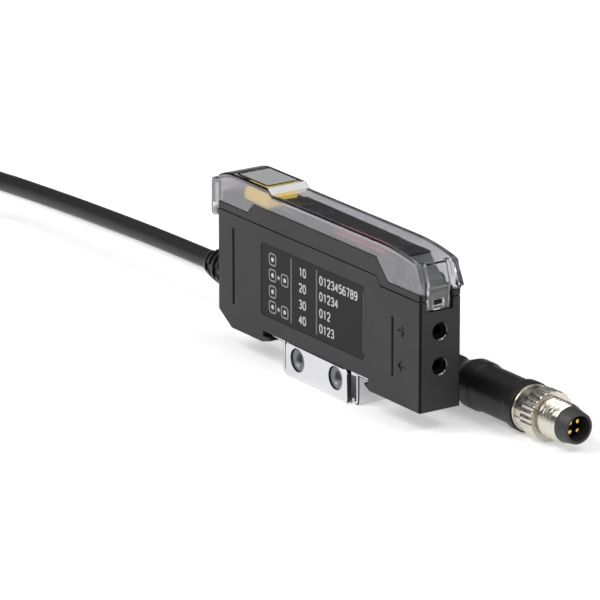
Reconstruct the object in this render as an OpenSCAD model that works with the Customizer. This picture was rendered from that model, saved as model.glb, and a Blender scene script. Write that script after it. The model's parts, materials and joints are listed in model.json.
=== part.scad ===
// Fibre optic sensor amplifier for a 35 mm rail: a slim moulded case with a hinged clear cover,
// two fibre sockets, a pigtail cable and an M8 screw connector.
// Millimetres, +Z up. The fibre end faces +X, the cable leaves towards -X, and the origin is
// the centre of the rail stub's underside. The housing's pieces are drawn from the case's foot.

/* [Case] */
// Length of the case
case_l = 72; // [71:0.5:78]
// Width of the case
case_w = 9.8; // [9.6:0.1:10.6]
// Height of the case at its rear seam
case_h = 24.5; // [24:0.25:26.5]
// Step of the seam down towards the fibre end
seam_drop = 1.75; // [1.5:0.25:2]
// Wall of the mouldings
wall = 1.2; // [1.1:0.05:1.3]
// Radius on the upright outer edges
edge_r = 0.5; // [0.3:0.1:0.7]
// Height of the sloped heel at the rear
heel_h = 3.4; // [2.8:0.2:4]
// Length of the sloped heel
heel_l = 5; // [4:0.25:6]
// Depth of the grooves and icons in the side
groove_d = 0.4; // [0.2:0.05:0.5]
// Depth of the recess for the legend
legend_d = 0.16; // [0.05:0.01:0.3]

/* [Rail seat] */
// Width of the rail stub over its brims
rail_w = 35; // [34.5:0.5:36]
// Width of the rail stub over its webs
rail_web_w = 27; // [26:0.5:28]
// Height of the rail stub
rail_h = 7.2; // [6.8:0.1:7.6]
// Sheet of the rail stub
sheet = 1; // [0.8:0.05:1.1]
// Depth of the seat in the case's foot
seat_depth = 2.4; // [2.2:0.1:2.7]
// Reach of the hooks under the brims
hook_reach = 0.7; // [0.5:0.1:1]
// Length of the stub's upright flange
flange_l = 22; // [20:0.5:23]
// Distance between the two threaded bushes
bush_pitch = 13.6; // [12:0.2:14.6]
// Thread radius of the bushes
bush_bore_r = 1.25; // [1:0.05:1.5]

/* [Cover] */
// Wall of the clear cover
cover_wall = 0.9; // [0.8:0.05:1]
// Height of the cover's top over the rear seam
cover_rise = 7.4; // [7.2:0.1:8.4]
// Height of the hump over the cover's top
hump_h = 1.15; // [0.9:0.05:1.6]
// Length of the hump from the case's rear
hump_l = 19.2; // [18.6:0.2:21]
// Length of the rounded front fall
nose_l = 8.3; // [7.5:0.1:9]
// Height of the rounded front fall
nose_h = 5.6; // [5:0.1:5.8]
// Radius on the cover's long edges
cover_edge_r = 0.5; // [0.3:0.1:1]
// Width of the latch tab
latch_w = 5; // [4.4:0.1:5.4]
// Radius of the hinge ears
ear_r = 1.1; // [1:0.05:1.15]
// Radius of the hinge pin
hinge_pin_r = 0.5; // [0.4:0.05:0.55]
// Opening angle in the drawing, 0 when shut
cover_open = 0; // [0:5:110]

/* [Controls] */
// Radius of the two buttons
button_r = 1.7; // [1.4:0.1:1.9]
// Distance between the two buttons
button_pitch = 7.5; // [6.5:0.5:8.5]
// Travel of a button
button_travel = 0.4; // [0.2:0.05:0.45]
// Length of the lamp
lamp_l = 8.6; // [7.6:0.2:9.2]
// Height of the lamp over its deck
lamp_h = 3.1; // [2.4:0.1:3.2]

/* [Fibres] */
// Depth of the upper fibre below the front seam
fibre_depth = 6.55; // [6.2:0.05:6.8]
// Distance between the two fibres
fibre_pitch = 7.2; // [6.6:0.1:7.6]
// Radius of the fibre bores
fibre_r = 1.15; // [0.8:0.05:1.2]
// Radius of the sockets' lead-in
lead_in_r = 1.65; // [1.5:0.05:1.9]

/* [Cable and connector] */
// Radius of the cable
cable_r = 2; // [1.6:0.1:2.2]
// Height of the cable's axis over the foot
cable_z = 9.8; // [9.4:0.1:10.4]
// Length of the ribbed strain relief
gland_l = 10; // [8:0.5:12]
// Number of ribs on the strain relief
gland_ribs = 5; // [4:1:6]
// Radius of the connector's knurl and flange
grip_r = 5.25; // [5:0.05:5.4]
// Thread radius of the connector
thread_r = 4; // [3.95:0.05:4.05]
// Length of the connector's thread
thread_l = 5.5; // [4.5:0.5:6.5]
// Length of the overmoulded grip
grip_l = 26.7; // [25.7:0.5:29.7]
// Number of contacts
contact_count = 4; // [3:1:5]

/* [Hidden] */
$fn = 48;

// Cuts run past a face by this much
over = 0.5;
// Gap where pieces of the housing fit together
fit = 0.1;
// Gap between the shut cover and its ledge
cover_gap = 0.15;
// Running gap of pins in their bores
run = 0.03;

// Levels and ends of the case
rear_x = -case_l / 2;
front_x = case_l / 2;
side_y = case_w / 2;
drop = rail_h - seat_depth;
seam_low = case_h - seam_drop;
step_back = 13.8;
step_run = 1.4;
step_x1 = front_x - step_back;
step_x0 = step_x1 - step_run;
inner_y = side_y - wall;

// Ledge on the bezel that the cover's lower edge follows, low at both ends
rear_rise = 1.6;
mid_rise = 3.95;
front_rise = 1.5;
rear_ledge_l = 11.1;
rear_slope_l = 2.3;
front_slope_l = 4.2;
front_ledge_l = 11.1;
rear_ledge = case_h + rear_rise;
mid_ledge = case_h + mid_rise;
front_ledge = seam_low + front_rise;
ledge_x0 = rear_x + rear_ledge_l;
ledge_x1 = ledge_x0 + rear_slope_l;
ledge_x3 = front_x - front_ledge_l;
ledge_x2 = ledge_x3 - front_slope_l;

// Island inside the cover: lamp deck at the rear, dark panel in the middle
panel_rise = 4.9;
panel_t = 0.9;
island_back = 1.2;
island_fore = 9;
panel_z = case_h + panel_rise;
island_y = side_y - cover_wall - cover_gap;
island_x0 = rear_x + island_back;
island_x1 = front_x - island_fore;
island_in_y = island_y - panel_t;
lamp_back = 7.4;
lamp_fore = 1.6;
lamp_x0 = island_x0 + lamp_back;
lamp_x1 = lamp_x0 + lamp_l;
deck_x = lamp_x1 + lamp_fore;

// Latch in the front face
latch_y0 = -2.9;
latch_y1 = latch_y0 + latch_w;
latch_drop = 1.85;
latch_low = seam_low - latch_drop;
recess_d = 1;
latch_gap = 0.4;
latch_far_gap = 0.9;
boss_t = 1.2;

// Cover
cover_lead = 0.3;
cover_x0 = rear_x - fit;
cover_x1 = front_x + cover_lead;
cover_top_z = case_h + cover_rise;
nose_power = 3.6;
tail_l = 5.6;
tail_h = 1.5;
hump_slope_l = 2.2;
hinge_drop = 0.7;
tab_drop = 1.2;
tab_gap = 0.4;
hinge_x = rear_x - fit - ear_r;
hinge_z = case_h - hinge_drop;
tab_top = cover_top_z - tab_drop;
tab_t = 0.85;
tab_r = 0.7;

// Display board under the panel
board_t = 0.8;
board_drop = 2.4;
display_board_z = panel_z - panel_t - board_drop;
lamp_inset = 1.45;
lamp_y = side_y - lamp_inset;
button_stand = 0.5;
button_flange_t = 0.4;
button_flange = 0.6;
button_gap = 5.7;
button_x0 = deck_x + button_gap;
button_x1 = button_x0 + button_pitch;
window_t = 0.5;
window_flange = 0.4;
window_back = 9;
window_fore = 5;
window_y = island_in_y - fit;
window_x0 = button_x1 + window_back;
window_x1 = island_x1 - window_fore;

// Upright main board beside the middle plane
main_board_t = 1;
main_board_y = 0.9;
main_board_back = 2.6;
main_board_fore = 11.8;
main_board_drop = 0.3;
main_board_x0 = rear_x + main_board_back;
main_board_x1 = front_x - main_board_fore;
main_board_z1 = seam_low - main_board_drop;
tub_floor = seat_depth + wall;
foot_floor = wall;

// Fibre guide, clamp bar and lever
fibre_high_z = seam_low - fibre_depth;
fibre_low_z = fibre_high_z - fibre_pitch;
fibre_zs = [fibre_low_z, fibre_high_z];
guide_l = 10.2;
guide_x0 = front_x - guide_l;
guide_x1 = front_x - wall - fit;
guide_y = inner_y - fit;
guide_top = latch_low - wall - boss_t - fit;
clamp_back = 5;
clamp_x = front_x - clamp_back;
clamp_t = 1.4;
clamp_y = 2.3;
clamp_gap = 0.15;
clamp_window_r = fibre_r + 2 * fit;
clamp_strap = 1;
cam_r = 1.5;
cam_throw = 1.1;
cam_rest = 60;
pivot_back = 0.75;
pivot_rise = 0.65;
pivot_x = clamp_x - pivot_back;
pivot_z = front_ledge + pivot_rise;
pivot_r = 0.55;
lever_y = 2.4;
hub_r = 1.15;
clamp_travel = 0.4;
clamp_top = pivot_z - cam_r - cam_throw * cos(cam_rest) - fit;
clamp_low = fibre_low_z - clamp_window_r - clamp_strap;
led_l = 2.4;
led_r = 1.5;
led_flange_r = 1.8;
lead_r = 0.25;
lead_l = 3;

// Pocket over the clamp, open to the case
pocket_wall = 0.6;
pocket_x0 = island_x1 + pocket_wall;
pocket_x1 = front_x - recess_d - boss_t;
pocket_y = 2.9;

// Cable route over the floor, hand-chosen points: from the strain relief, past the rear,
// round a loop and back along the floor to the connector beside the case
cable_route = [
  [-46, 0, 14.6], [-49, 0, 14.6], [-60, 0, 14.4], [-72, 0, 14.1], [-86, 0, 13.6],
  [-100, 0, 13], [-115, 0, 12.2], [-128, 0, 11.4], [-138, -1, 10.7], [-144, -4.5, 10.1],
  [-149, -10, 9.3], [-155, -16.5, 8.2], [-164, -19, 7], [-172, -16.5, 5.9],
  [-178.5, -10.5, 4.8], [-180.5, -2, 3.8], [-178.5, 6.5, 2.9], [-172, 13, 2.3],
  [-166, 15, 2.05], [-155.5, 16.5, 2], [-144.5, 18, 2], [-131.5, 19.3, 2],
  [-118.5, 20.4, 2], [-105.5, 21.4, 2], [-94, 21.9, 2], [-82, 22.2, 2], [-68, 22.2, 2],
  [-54, 21.7, 2], [-38, 20.5, 2], [-24, 18.6, 2], [-12, 16.8, 2], [-3, 15.5, 2.05],
  [3, 15.1, 2.5], [8, 15, 3.5], [13, 15, 4.7], [17, 15, 5.25], [19, 15, 5.25]
];
connector_at = [19, 15, grip_r];

// Connector, lengths from its cable end
ring_t = 0.75;
ring_edge = 0.15;
nut_l = 2.5;
knurl_l = 3.75;
tip_l = 3.3;
stem_r = 3.1;
tip_r = 3.7;
tip_end_r = 3.2;
tip_bore_r = 2.6;
tip_bore_l = 5;
contact_r = 0.5;
contact_ring_r = 1.35;

// Extrudes an outline drawn in X and Z between two Y planes
module slab(y0, y1, outline) {
  translate([0, y1, 0])
    rotate([90, 0, 0])
      linear_extrude(y1 - y0)
        polygon(outline);
}

// Box between two opposite corners
module block(low, high) {
  translate(low)
    cube(high - low);
}

module rod_x(x0, x1, y, z, r) {
  translate([x0, y, z])
    rotate([0, 90, 0])
      cylinder(r = r, h = x1 - x0);
}

module rod_y(y0, y1, x, z, r) {
  translate([x, y1, z])
    rotate([90, 0, 0])
      cylinder(r = r, h = y1 - y0);
}

module rod_z(z0, z1, x, y, r) {
  translate([x, y, z0])
    cylinder(r = r, h = z1 - z0);
}

module round_rect(low, high, r) {
  translate([low[0] + r, low[1]])
    square([high[0] - low[0] - 2 * r, high[1] - low[1]]);
  translate([low[0], low[1] + r])
    square([high[0] - low[0], high[1] - low[1] - 2 * r]);
  for (x = [low[0] + r, high[0] - r], y = [low[1] + r, high[1] - r])
    translate([x, y])
      circle(r);
}

// Upright prism with rounded corners, as wide as the case
module upright(x0, x1, z0, z1, r) {
  translate([0, 0, z0])
    linear_extrude(z1 - z0)
      round_rect([x0, -side_y], [x1, side_y], r);
}

// Places what is drawn from the case's foot on the rail stub
module on_rail() {
  translate([0, 0, drop])
    children();
}

function arc(x, z, r, a0, a1, steps) =
  [for (i = [0 : steps]) let (a = a0 + (a1 - a0) * i / steps) [x + r * cos(a), z + r * sin(a)]];

// Case: side outline, from the top rear corner down and round
heel_nose = 0.75;
notch_gap = 0.6;
front_toe = 0.5;
rear_toe = 1.6;
notch_x = rail_w / 2 + notch_gap;
front_foot_x = notch_x + front_toe;
rear_foot_x = notch_x + rear_toe;
lip_x = rail_w / 2 - hook_reach;
lip_z = seat_depth - sheet - fit;
lip_t = 0.5;
latch_play = 1.3;
rear_notch_x = notch_x + latch_play;

function case_outline() = [
  [rear_x, case_h],
  [rear_x, heel_h],
  [rear_x + heel_nose, heel_h - heel_nose],
  [rear_x + heel_l, 0],
  [-rear_foot_x, 0],
  [-lip_x, lip_z - lip_t],
  [-lip_x, lip_z],
  [-rear_notch_x, lip_z],
  [-rear_notch_x, seat_depth],
  [notch_x, seat_depth],
  [notch_x, lip_z],
  [lip_x, lip_z],
  [lip_x, lip_z - lip_t],
  [front_foot_x, 0],
  [front_x, 0],
  [front_x, seam_low],
  [step_x1, seam_low],
  [step_x0, case_h]
];

function tub_outline() = [
  [rear_x + wall, case_h + over],
  [rear_x + wall, heel_h + wall / 2],
  [rear_x + heel_l, foot_floor],
  [-rear_foot_x - wall, foot_floor],
  [-rear_notch_x - wall, tub_floor],
  [notch_x + wall, tub_floor],
  [notch_x + 2 * wall, foot_floor],
  [front_x - wall, foot_floor],
  [front_x - wall, latch_low - wall - boss_t],
  [front_x - wall - boss_t, latch_low - wall],
  [front_x - wall - boss_t, case_h + over]
];

// Upright groove in both sides
groove_w = 0.7;
groove_z0 = 5.3;
rear_groove_back = 5.8;
rear_groove_drop = 3;
front_groove_back = 9.4;
front_groove_drop = 5.05;
rear_groove_x = rear_x + rear_groove_back;
rear_groove_top = case_h - rear_groove_drop;
front_groove_x = front_x - front_groove_back;
front_groove_top = seam_low - front_groove_drop;

module side_groove(x, top) {
  for (y = [-side_y, side_y])
    block([x - groove_w / 2, y - groove_d, groove_z0], [x + groove_w / 2, y + groove_d, top]);
}

// Arrow icon beside a fibre, pointing in or out
arrow_l = 2.8;
arrow_w = 2.6;
arrow_bar = 0.5;
arrow_back = 6.2;
arrow_drop = 0.75;
arrow_d = 0.25;
arrow_x = front_x - arrow_back;

module arrow(z, way) {
  head = arrow_l / 2;
  slab(-side_y - over, -side_y + arrow_d, [
    [arrow_x - way * head, z - arrow_bar / 2],
    [arrow_x, z - arrow_bar / 2],
    [arrow_x, z - arrow_w / 2],
    [arrow_x + way * head, z],
    [arrow_x, z + arrow_w / 2],
    [arrow_x, z + arrow_bar / 2],
    [arrow_x - way * head, z + arrow_bar / 2]
  ]);
}

// Recess for the legend on the near side
legend_back = 16;
legend_fore = 19.2;
legend_drop = 3.2;
legend_x0 = rear_x + legend_back;
legend_x1 = front_x - legend_fore;
legend_z0 = 5.9;
legend_z1 = case_h - legend_drop;
legend_r = 0.8;

module legend_recess() {
  translate([0, -side_y + legend_d, 0])
    rotate([90, 0, 0])
      linear_extrude(legend_d + over)
        round_rect([legend_x0, legend_z0], [legend_x1, legend_z1], legend_r);
}

nose_side = 0.15;
latch_rim = 1.2;
latch_bar = 0.9;
latch_window_h = 1.1;
latch_window_y0 = latch_y0 + latch_rim;
latch_window_y1 = latch_y1 - latch_rim;
latch_window_z0 = latch_low + latch_bar;
latch_window_z1 = latch_window_z0 + latch_window_h;

// Snap nose that the latch window closes over
module snap_nose() {
  root_x = front_x - recess_d;
  slab(latch_window_y0 + nose_side, latch_window_y1 - nose_side, [
    [root_x - over, latch_window_z0 + nose_side],
    [root_x + recess_d / 2, latch_window_z0 + 2 * nose_side],
    [root_x + recess_d / 2, latch_window_z0 + recess_d / 2],
    [root_x, seam_low - fit],
    [root_x - over, seam_low - fit]
  ]);
}

module latch_recess() {
  block([front_x - recess_d, latch_y0 - latch_gap, latch_low - latch_gap],
    [front_x + over, latch_y1 + latch_far_gap, case_h + over]);
}

lug_gap = 0.2;
hinge_lug_y = side_y - cover_wall - lug_gap;
lug_r = 0.95;
gland_neck_r = 2.7;
guide_rib = 0.8;

module case() color([0.16, 0.16, 0.17]) on_rail() {
  difference() {
    intersection() {
      slab(-side_y, side_y, case_outline());
      upright(rear_x, front_x, -over, case_h + over, edge_r);
    }
    difference() {
      slab(-inner_y, inner_y, tub_outline());
      // Ribs that hold the main board's lower edge
      for (y = [main_board_y - fit / 2 - guide_rib, main_board_y + main_board_t + fit / 2])
        block([-lip_x + wall, y, 0], [lip_x - 2 * wall, y + guide_rib, tub_floor + guide_rib]);
    }
    side_groove(rear_groove_x, rear_groove_top);
    side_groove(front_groove_x, front_groove_top);
    legend_recess();
    arrow(fibre_high_z - arrow_drop, 1);
    arrow(fibre_low_z - arrow_drop, -1);
    for (z = fibre_zs) {
      rod_x(front_x - wall - over, front_x + over, 0, z, lead_in_r);
      translate([front_x - wall / 3, 0, z])
        rotate([0, 90, 0])
          cylinder(r1 = lead_in_r, r2 = lead_in_r + wall / 3, h = wall / 3);
    }
    rod_x(rear_x - over, rear_x + wall + over, 0, cable_z, gland_neck_r + fit);
    difference() {
      latch_recess();
      snap_nose();
    }
  }
  // Hinge lug behind the case
  difference() {
    union() {
      rod_y(-hinge_lug_y, hinge_lug_y, hinge_x, hinge_z, lug_r);
      slab(-hinge_lug_y, hinge_lug_y, [
        [hinge_x, hinge_z - lug_r],
        [rear_x + wall / 2, hinge_z - 3 * lug_r],
        [rear_x + wall / 2, case_h],
        [rear_x, case_h],
        [hinge_x, hinge_z + lug_r]
      ]);
    }
    rod_y(-side_y - over, side_y + over, hinge_x, hinge_z, hinge_pin_r);
  }
}

// Bezel
function bezel_outline() = [
  [rear_x, case_h],
  [step_x0, case_h],
  [step_x1, seam_low],
  [front_x, seam_low],
  [front_x, front_ledge],
  [ledge_x3, front_ledge],
  [ledge_x2, mid_ledge],
  [ledge_x1, mid_ledge],
  [ledge_x0, rear_ledge],
  [rear_x, rear_ledge]
];

function island_outline() = [
  [island_x0, rear_ledge - over],
  [step_x0, rear_ledge - over],
  [step_x1, front_ledge - over],
  [island_x1, front_ledge - over],
  [island_x1, panel_z],
  [deck_x + panel_z - mid_ledge, panel_z],
  [deck_x, mid_ledge],
  [island_x0, mid_ledge]
];

function bezel_hollow() = [
  [rear_x + 2 * wall, seam_low - wall - over],
  [island_x1 - panel_t, seam_low - wall - over],
  [island_x1 - panel_t, panel_z - panel_t],
  [deck_x + panel_z - mid_ledge, panel_z - panel_t],
  [deck_x, mid_ledge - panel_t],
  [rear_x + 2 * wall, mid_ledge - panel_t]
];

// Lip that seats the bezel inside the case's walls
lip_h = 1.4;

function bezel_lip() = [
  [rear_x + wall + fit, case_h + over],
  [rear_x + wall + fit, case_h - lip_h],
  [step_x0 - lip_h, case_h - lip_h],
  [step_x1 - lip_h, seam_low - lip_h],
  [front_x - wall - boss_t - fit, seam_low - lip_h],
  [front_x - wall - boss_t - fit, seam_low + over],
  [step_x1, seam_low + over],
  [step_x0, case_h + over]
];

pivot_ear_r = 1.5;
post_r = 0.6;
post_inset = 1.4;

module display_posts() {
  for (x = [deck_x + 1.5 * post_inset, window_x0 - post_inset, island_x1 - panel_t - post_inset])
    for (y = [-island_in_y + post_inset / 2, island_in_y - post_inset / 2])
      rod_z(display_board_z, panel_z - panel_t + fit, x, y, post_r);
}

// Narrow groove that the bezel leaves above its seam with the case
seam_w = 0.24;
seam_in = 0.3;

function seam_strip() = [
  [rear_x - over, case_h - over],
  [step_x0, case_h - over],
  [step_x1, seam_low - over],
  [front_x + over, seam_low - over],
  [front_x + over, seam_low + seam_w],
  [step_x1 + seam_w / 2, seam_low + seam_w],
  [step_x0 + seam_w / 2, case_h + seam_w],
  [rear_x - over, case_h + seam_w]
];

module seam_groove() {
  for (y = [-side_y - over, side_y - seam_in])
    slab(y, y + seam_in + over, seam_strip());
  block([front_x - seam_in, -side_y - over, seam_low - over],
    [front_x + over, side_y + over, seam_low + seam_w]);
}

module bezel() color([0.15, 0.15, 0.16]) on_rail() {
  difference() {
    union() {
      difference() {
        intersection() {
          slab(-side_y, side_y, bezel_outline());
          upright(rear_x, front_x, seam_low - over, mid_ledge + over, edge_r);
        }
        seam_groove();
      }
      slab(-island_y, island_y, island_outline());
      slab(-inner_y + fit, inner_y - fit, bezel_lip());
      // Ears that carry the lever's pin
      for (y = [-island_y, pocket_y]) {
        rod_y(y, y + island_y - pocket_y, pivot_x, pivot_z, pivot_ear_r);
        block([pivot_x - pivot_ear_r, y, seam_low + over],
          [pivot_x + pivot_ear_r, y + island_y - pocket_y, pivot_z]);
      }
    }
    slab(-island_in_y, island_in_y, bezel_hollow());
    block([pocket_x0, -pocket_y, seam_low - lip_h - over], [pocket_x1, pocket_y, panel_z]);
    latch_recess();
    // Window seat, button holes, light shaft and pin bore
    block([window_x0, -window_y, panel_z - window_t], [window_x1, window_y, panel_z + over]);
    block([window_x0 + window_flange, -window_y + window_flange, panel_z - panel_t - over],
      [window_x1 - window_flange, window_y - window_flange, panel_z + over]);
    for (x = [button_x0, button_x1])
      rod_z(panel_z - panel_t - over, panel_z + over, x, 0, button_r + 2 * fit);
    block([lamp_x0 + wall, -lamp_y + wall, mid_ledge - panel_t - over],
      [lamp_x1 - wall, lamp_y - wall, mid_ledge + over]);
    rod_y(-side_y, side_y, pivot_x, pivot_z, pivot_r);
  }
  display_posts();
}

// Cover: height of the top and half width along X
function unit(v) = max(0, min(1, v));

function cover_top(x) =
  cover_top_z
  + hump_h * unit((rear_x + hump_l + hump_slope_l - x) / hump_slope_l)
  - nose_h * pow(unit((x - cover_x1 + nose_l) / nose_l), nose_power)
  - tail_h * pow(unit((cover_x0 + tail_l - x) / tail_l), 2);

function cover_side(x) =
  side_y
  - cover_edge_r / 2 * pow(unit((x - cover_x1 + 2 * cover_edge_r) / (2 * cover_edge_r)), 2)
  - cover_edge_r / 3 * pow(unit((cover_x0 + cover_edge_r - x) / cover_edge_r), 2);

cover_low = front_ledge + cover_gap;
arc_steps = 5;

function cover_ring(x, top, half, r, low) = concat(
  [[x, half, low]],
  [for (p = arc(half - r, top - r, r, 0, 90, arc_steps)) [x, p[0], p[1]]],
  [for (p = arc(-half + r, top - r, r, 90, 180, arc_steps)) [x, p[0], p[1]]],
  [[x, -half, low]]
);

// Closed solid through a list of rings with equally many points
module loft(rings) {
  n = len(rings[0]);
  last = len(rings) - 1;
  points = [for (ring = rings) each ring];
  polyhedron(
    points = points,
    faces = concat(
      [[for (j = [0 : n - 1]) j]],
      [[for (j = [n - 1 : -1 : 0]) last * n + j]],
      [for (i = [0 : last - 1], j = [0 : n - 1])
        let (a = i * n + j, b = i * n + (j + 1) % n)
        each [[a, a + n, b], [b, a + n, b + n]]]
    ),
    convexity = 4
  );
}

tail_steps = 6;
nose_steps = 12;

function cover_stations(x0, x1) = concat(
  [for (i = [0 : tail_steps]) x0 + tail_l * pow(i / tail_steps, 1.5)],
  [rear_x + hump_l, rear_x + hump_l + hump_slope_l, cover_x1 - nose_l],
  [for (i = [1 : nose_steps]) cover_x1 - nose_l + (x1 - cover_x1 + nose_l) * pow(i / nose_steps, 0.6)]
);

module cover_outside() {
  loft([for (x = cover_stations(cover_x0, cover_x1))
    cover_ring(x, cover_top(x), cover_side(x), cover_edge_r, cover_low)]);
}

module cover_inside() {
  loft([for (x = cover_stations(cover_x0 + cover_wall, cover_x1 - cover_wall))
    cover_ring(x, cover_top(x + cover_wall / 2) - cover_wall, side_y - cover_wall,
      cover_edge_r / 2, cover_low - over)]);
}

function cover_undercut() = [
  [cover_x0 - over, cover_low - over],
  [cover_x0 - over, rear_ledge + cover_gap],
  [ledge_x0 - cover_gap, rear_ledge + cover_gap],
  [ledge_x1 - cover_gap, mid_ledge + cover_gap],
  [ledge_x2 + cover_gap, mid_ledge + cover_gap],
  [ledge_x3 + cover_gap, cover_low],
  [ledge_x3 + cover_gap, cover_low - over]
];

slot_w = 1.1;
slot_h = 5;
slot_top = front_ledge + slot_h;

module latch_slots() {
  for (y = [latch_y0 - slot_w, latch_y1])
    block([cover_x1 - 3 * cover_wall, y, cover_low - over], [cover_x1 + over, y + slot_w, slot_top]);
}

// Tab with its window, over the snap nose
module latch_tab() {
  tab_in = front_x - recess_d + cover_gap;
  difference() {
    block([tab_in, latch_y0, latch_low], [tab_in + cover_wall, latch_y1, cover_low + cover_wall]);
    block([tab_in - over, latch_window_y0, latch_window_z0],
      [tab_in + cover_wall + over, latch_window_y1, latch_window_z1]);
    block([tab_in - over, latch_window_y0, latch_low - over],
      [front_x - recess_d / 2 + fit, latch_window_y1, latch_window_z1]);
  }
}

// Lip beside the latch that a fingertip lifts
lip_out = 1.3;
lip_edge = 0.6;
lip_low = 0.9;
lip_rise = 4.6;
lip_inset = 0.3;

module finger_lip() {
  root_x = cover_x1 - cover_wall / 2;
  slab(latch_y1 + slot_w + lip_inset / 2, side_y - cover_edge_r / 2 - lip_inset, [
    [root_x, cover_low + lip_low],
    [cover_x1 + lip_out, cover_low + lip_low],
    [cover_x1 + lip_out, cover_low + lip_low + lip_edge],
    [root_x, cover_low + lip_rise]
  ]);
}

// Hinge tab behind the case: two cheeks with ears, a back and a roof
module hinge_tab() {
  back_x = hinge_x - ear_r;
  joint_x = cover_x0 + cover_wall / 2;
  profile = concat(
    [[joint_x, tab_top], [joint_x, rear_ledge + cover_gap], [cover_x0, rear_ledge + cover_gap],
      [cover_x0, hinge_z], [back_x, hinge_z]],
    arc(back_x + tab_r, tab_top - tab_r, tab_r, 180, 90, arc_steps)
  );
  difference() {
    intersection() {
      union() {
        slab(-side_y, side_y, profile);
        rod_y(-side_y, side_y, hinge_x, hinge_z, ear_r);
      }
      upright(back_x - over, front_x, hinge_z - 2 * ear_r, tab_top + over, edge_r);
    }
    block([back_x + tab_t, -side_y + cover_wall, hinge_z + ear_r + tab_gap],
      [cover_x0, side_y - cover_wall, tab_top - tab_t]);
    block([back_x - over, -side_y + cover_wall, hinge_z - 2 * ear_r],
      [joint_x + over, side_y - cover_wall, hinge_z + ear_r + tab_gap]);
    rod_y(-side_y - over, side_y + over, hinge_x, hinge_z, hinge_pin_r + run);
  }
}

module cover() color([0.8, 0.85, 0.88, 0.35])
  on_rail()
    translate([hinge_x, 0, hinge_z])
      rotate([0, -cover_open, 0])
        translate([-hinge_x, 0, -hinge_z]) {
          difference() {
            cover_outside();
            cover_inside();
            slab(-side_y - over, side_y + over, cover_undercut());
            latch_slots();
          }
          latch_tab();
          finger_lip();
          hinge_tab();
        }

module hinge_pin() color("silver") on_rail()
  rod_y(-side_y + fit, side_y - fit, hinge_x, hinge_z, hinge_pin_r);

// Lamp: a block of yellow light guide with a sloped rear, plugged into its shaft
module status_lamp() color([0.95, 0.85, 0.4, 0.8]) on_rail() {
  slab(-lamp_y, lamp_y, [
    [lamp_x0, mid_ledge],
    [lamp_x1, mid_ledge],
    [lamp_x1, mid_ledge + lamp_h - panel_t],
    [lamp_x1 - panel_t, mid_ledge + lamp_h],
    [lamp_x0 + panel_t, mid_ledge + lamp_h],
    [lamp_x0, mid_ledge + lamp_h / 2]
  ]);
  block([lamp_x0 + wall + fit, -lamp_y + wall + fit, mid_ledge - panel_t + fit],
    [lamp_x1 - wall - fit, lamp_y - wall - fit, mid_ledge + fit]);
}

module display_window() color([0.55, 0.05, 0.08, 0.7]) on_rail() {
  block([window_x0 + fit / 2, -window_y + fit / 2, panel_z - window_t],
    [window_x1 - fit / 2, window_y - fit / 2, panel_z]);
  block([window_x0 + window_flange + fit, -window_y + window_flange + fit, panel_z - panel_t],
    [window_x1 - window_flange - fit, window_y - window_flange - fit, panel_z - fit]);
}

// Button: dished cap with a flange under the panel
module button(x) {
  under = panel_z - panel_t - button_flange_t - fit;
  top = panel_z + button_stand;
  translate([x, 0, 0])
    rotate_extrude()
      polygon([
        [0, under],
        [button_r + button_flange, under],
        [button_r + button_flange, under + button_flange_t],
        [button_r, under + button_flange_t],
        [button_r, top - button_flange_t / 2],
        [button_r - button_flange_t / 2, top],
        [button_r / 2, top - fit],
        [0, top - 1.5 * fit]
      ]);
}

module set_button() color([0.3, 0.3, 0.32]) on_rail() button(button_x0);
module mode_button() color([0.3, 0.3, 0.32]) on_rail() button(button_x1);

// Tact switch under a button
switch_side = 3.6;
plunger_r = 0.9;
plunger_z = panel_z - panel_t - button_flange_t - 2 * fit - button_travel;

module tact_switch(x) {
  block([x - switch_side / 2, -switch_side / 2, display_board_z],
    [x + switch_side / 2, switch_side / 2, plunger_z - 3 * fit]);
  rod_z(plunger_z - 4 * fit, plunger_z, x, 0, plunger_r);
}

module set_switch() color("dimgray") on_rail() tact_switch(button_x0);
module mode_switch() color("dimgray") on_rail() tact_switch(button_x1);

led_side = 2.4;
led_h = 1.1;

module status_led() color("khaki") on_rail()
  translate([(lamp_x0 + lamp_x1) / 2, 0, display_board_z]) {
    translate([-led_side / 2, -led_side / 2, 0])
      cube([led_side, led_side, led_h / 2]);
    cylinder(r = led_side / 3, h = led_h);
  }

module display_board() color("darkgreen") on_rail()
  block([lamp_x0, -island_in_y + fit, display_board_z - board_t],
    [island_x1 - panel_t - fit, island_in_y - fit, display_board_z]);

// Digit block: a case with slanted seven-segment recesses in its face
digit_h = 2.2;
digit_gap = 0.3;
segment_d = 0.1;
module digit_block(x0, x1, digits) {
  half = window_y - window_flange - 2 * fit;
  cell = (x1 - x0) / digits;
  bar = cell / 8;
  difference() {
    block([x0, -half, display_board_z], [x1, half, display_board_z + digit_h]);
    for (i = [0 : digits - 1], side = [-1, 0, 1])
      block([x0 + cell * i + 2 * bar, side * (half - 3 * bar) - bar / 2,
          display_board_z + digit_h - segment_d],
        [x0 + cell * (i + 1) - 2 * bar, side * (half - 3 * bar) + bar / 2,
          display_board_z + digit_h + over]);
  }
}

digits_x0 = window_x0 + window_flange + 2 * fit;
digits_x2 = window_x1 - window_flange - 2 * fit;
digits_x1 = (digits_x0 + digits_x2) / 2;

module main_digits() color("gainsboro") on_rail()
  digit_block(digits_x0, digits_x1 - digit_gap / 2, 4);
module small_digits() color("gainsboro") on_rail()
  digit_block(digits_x1 + digit_gap / 2, digits_x2, 4);

link_l = 10;

module board_link() color("black") on_rail()
  block([-link_l / 2, main_board_y - guide_rib / 2, main_board_z1],
    [link_l / 2, main_board_y + main_board_t + guide_rib / 2, display_board_z - board_t]);

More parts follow.
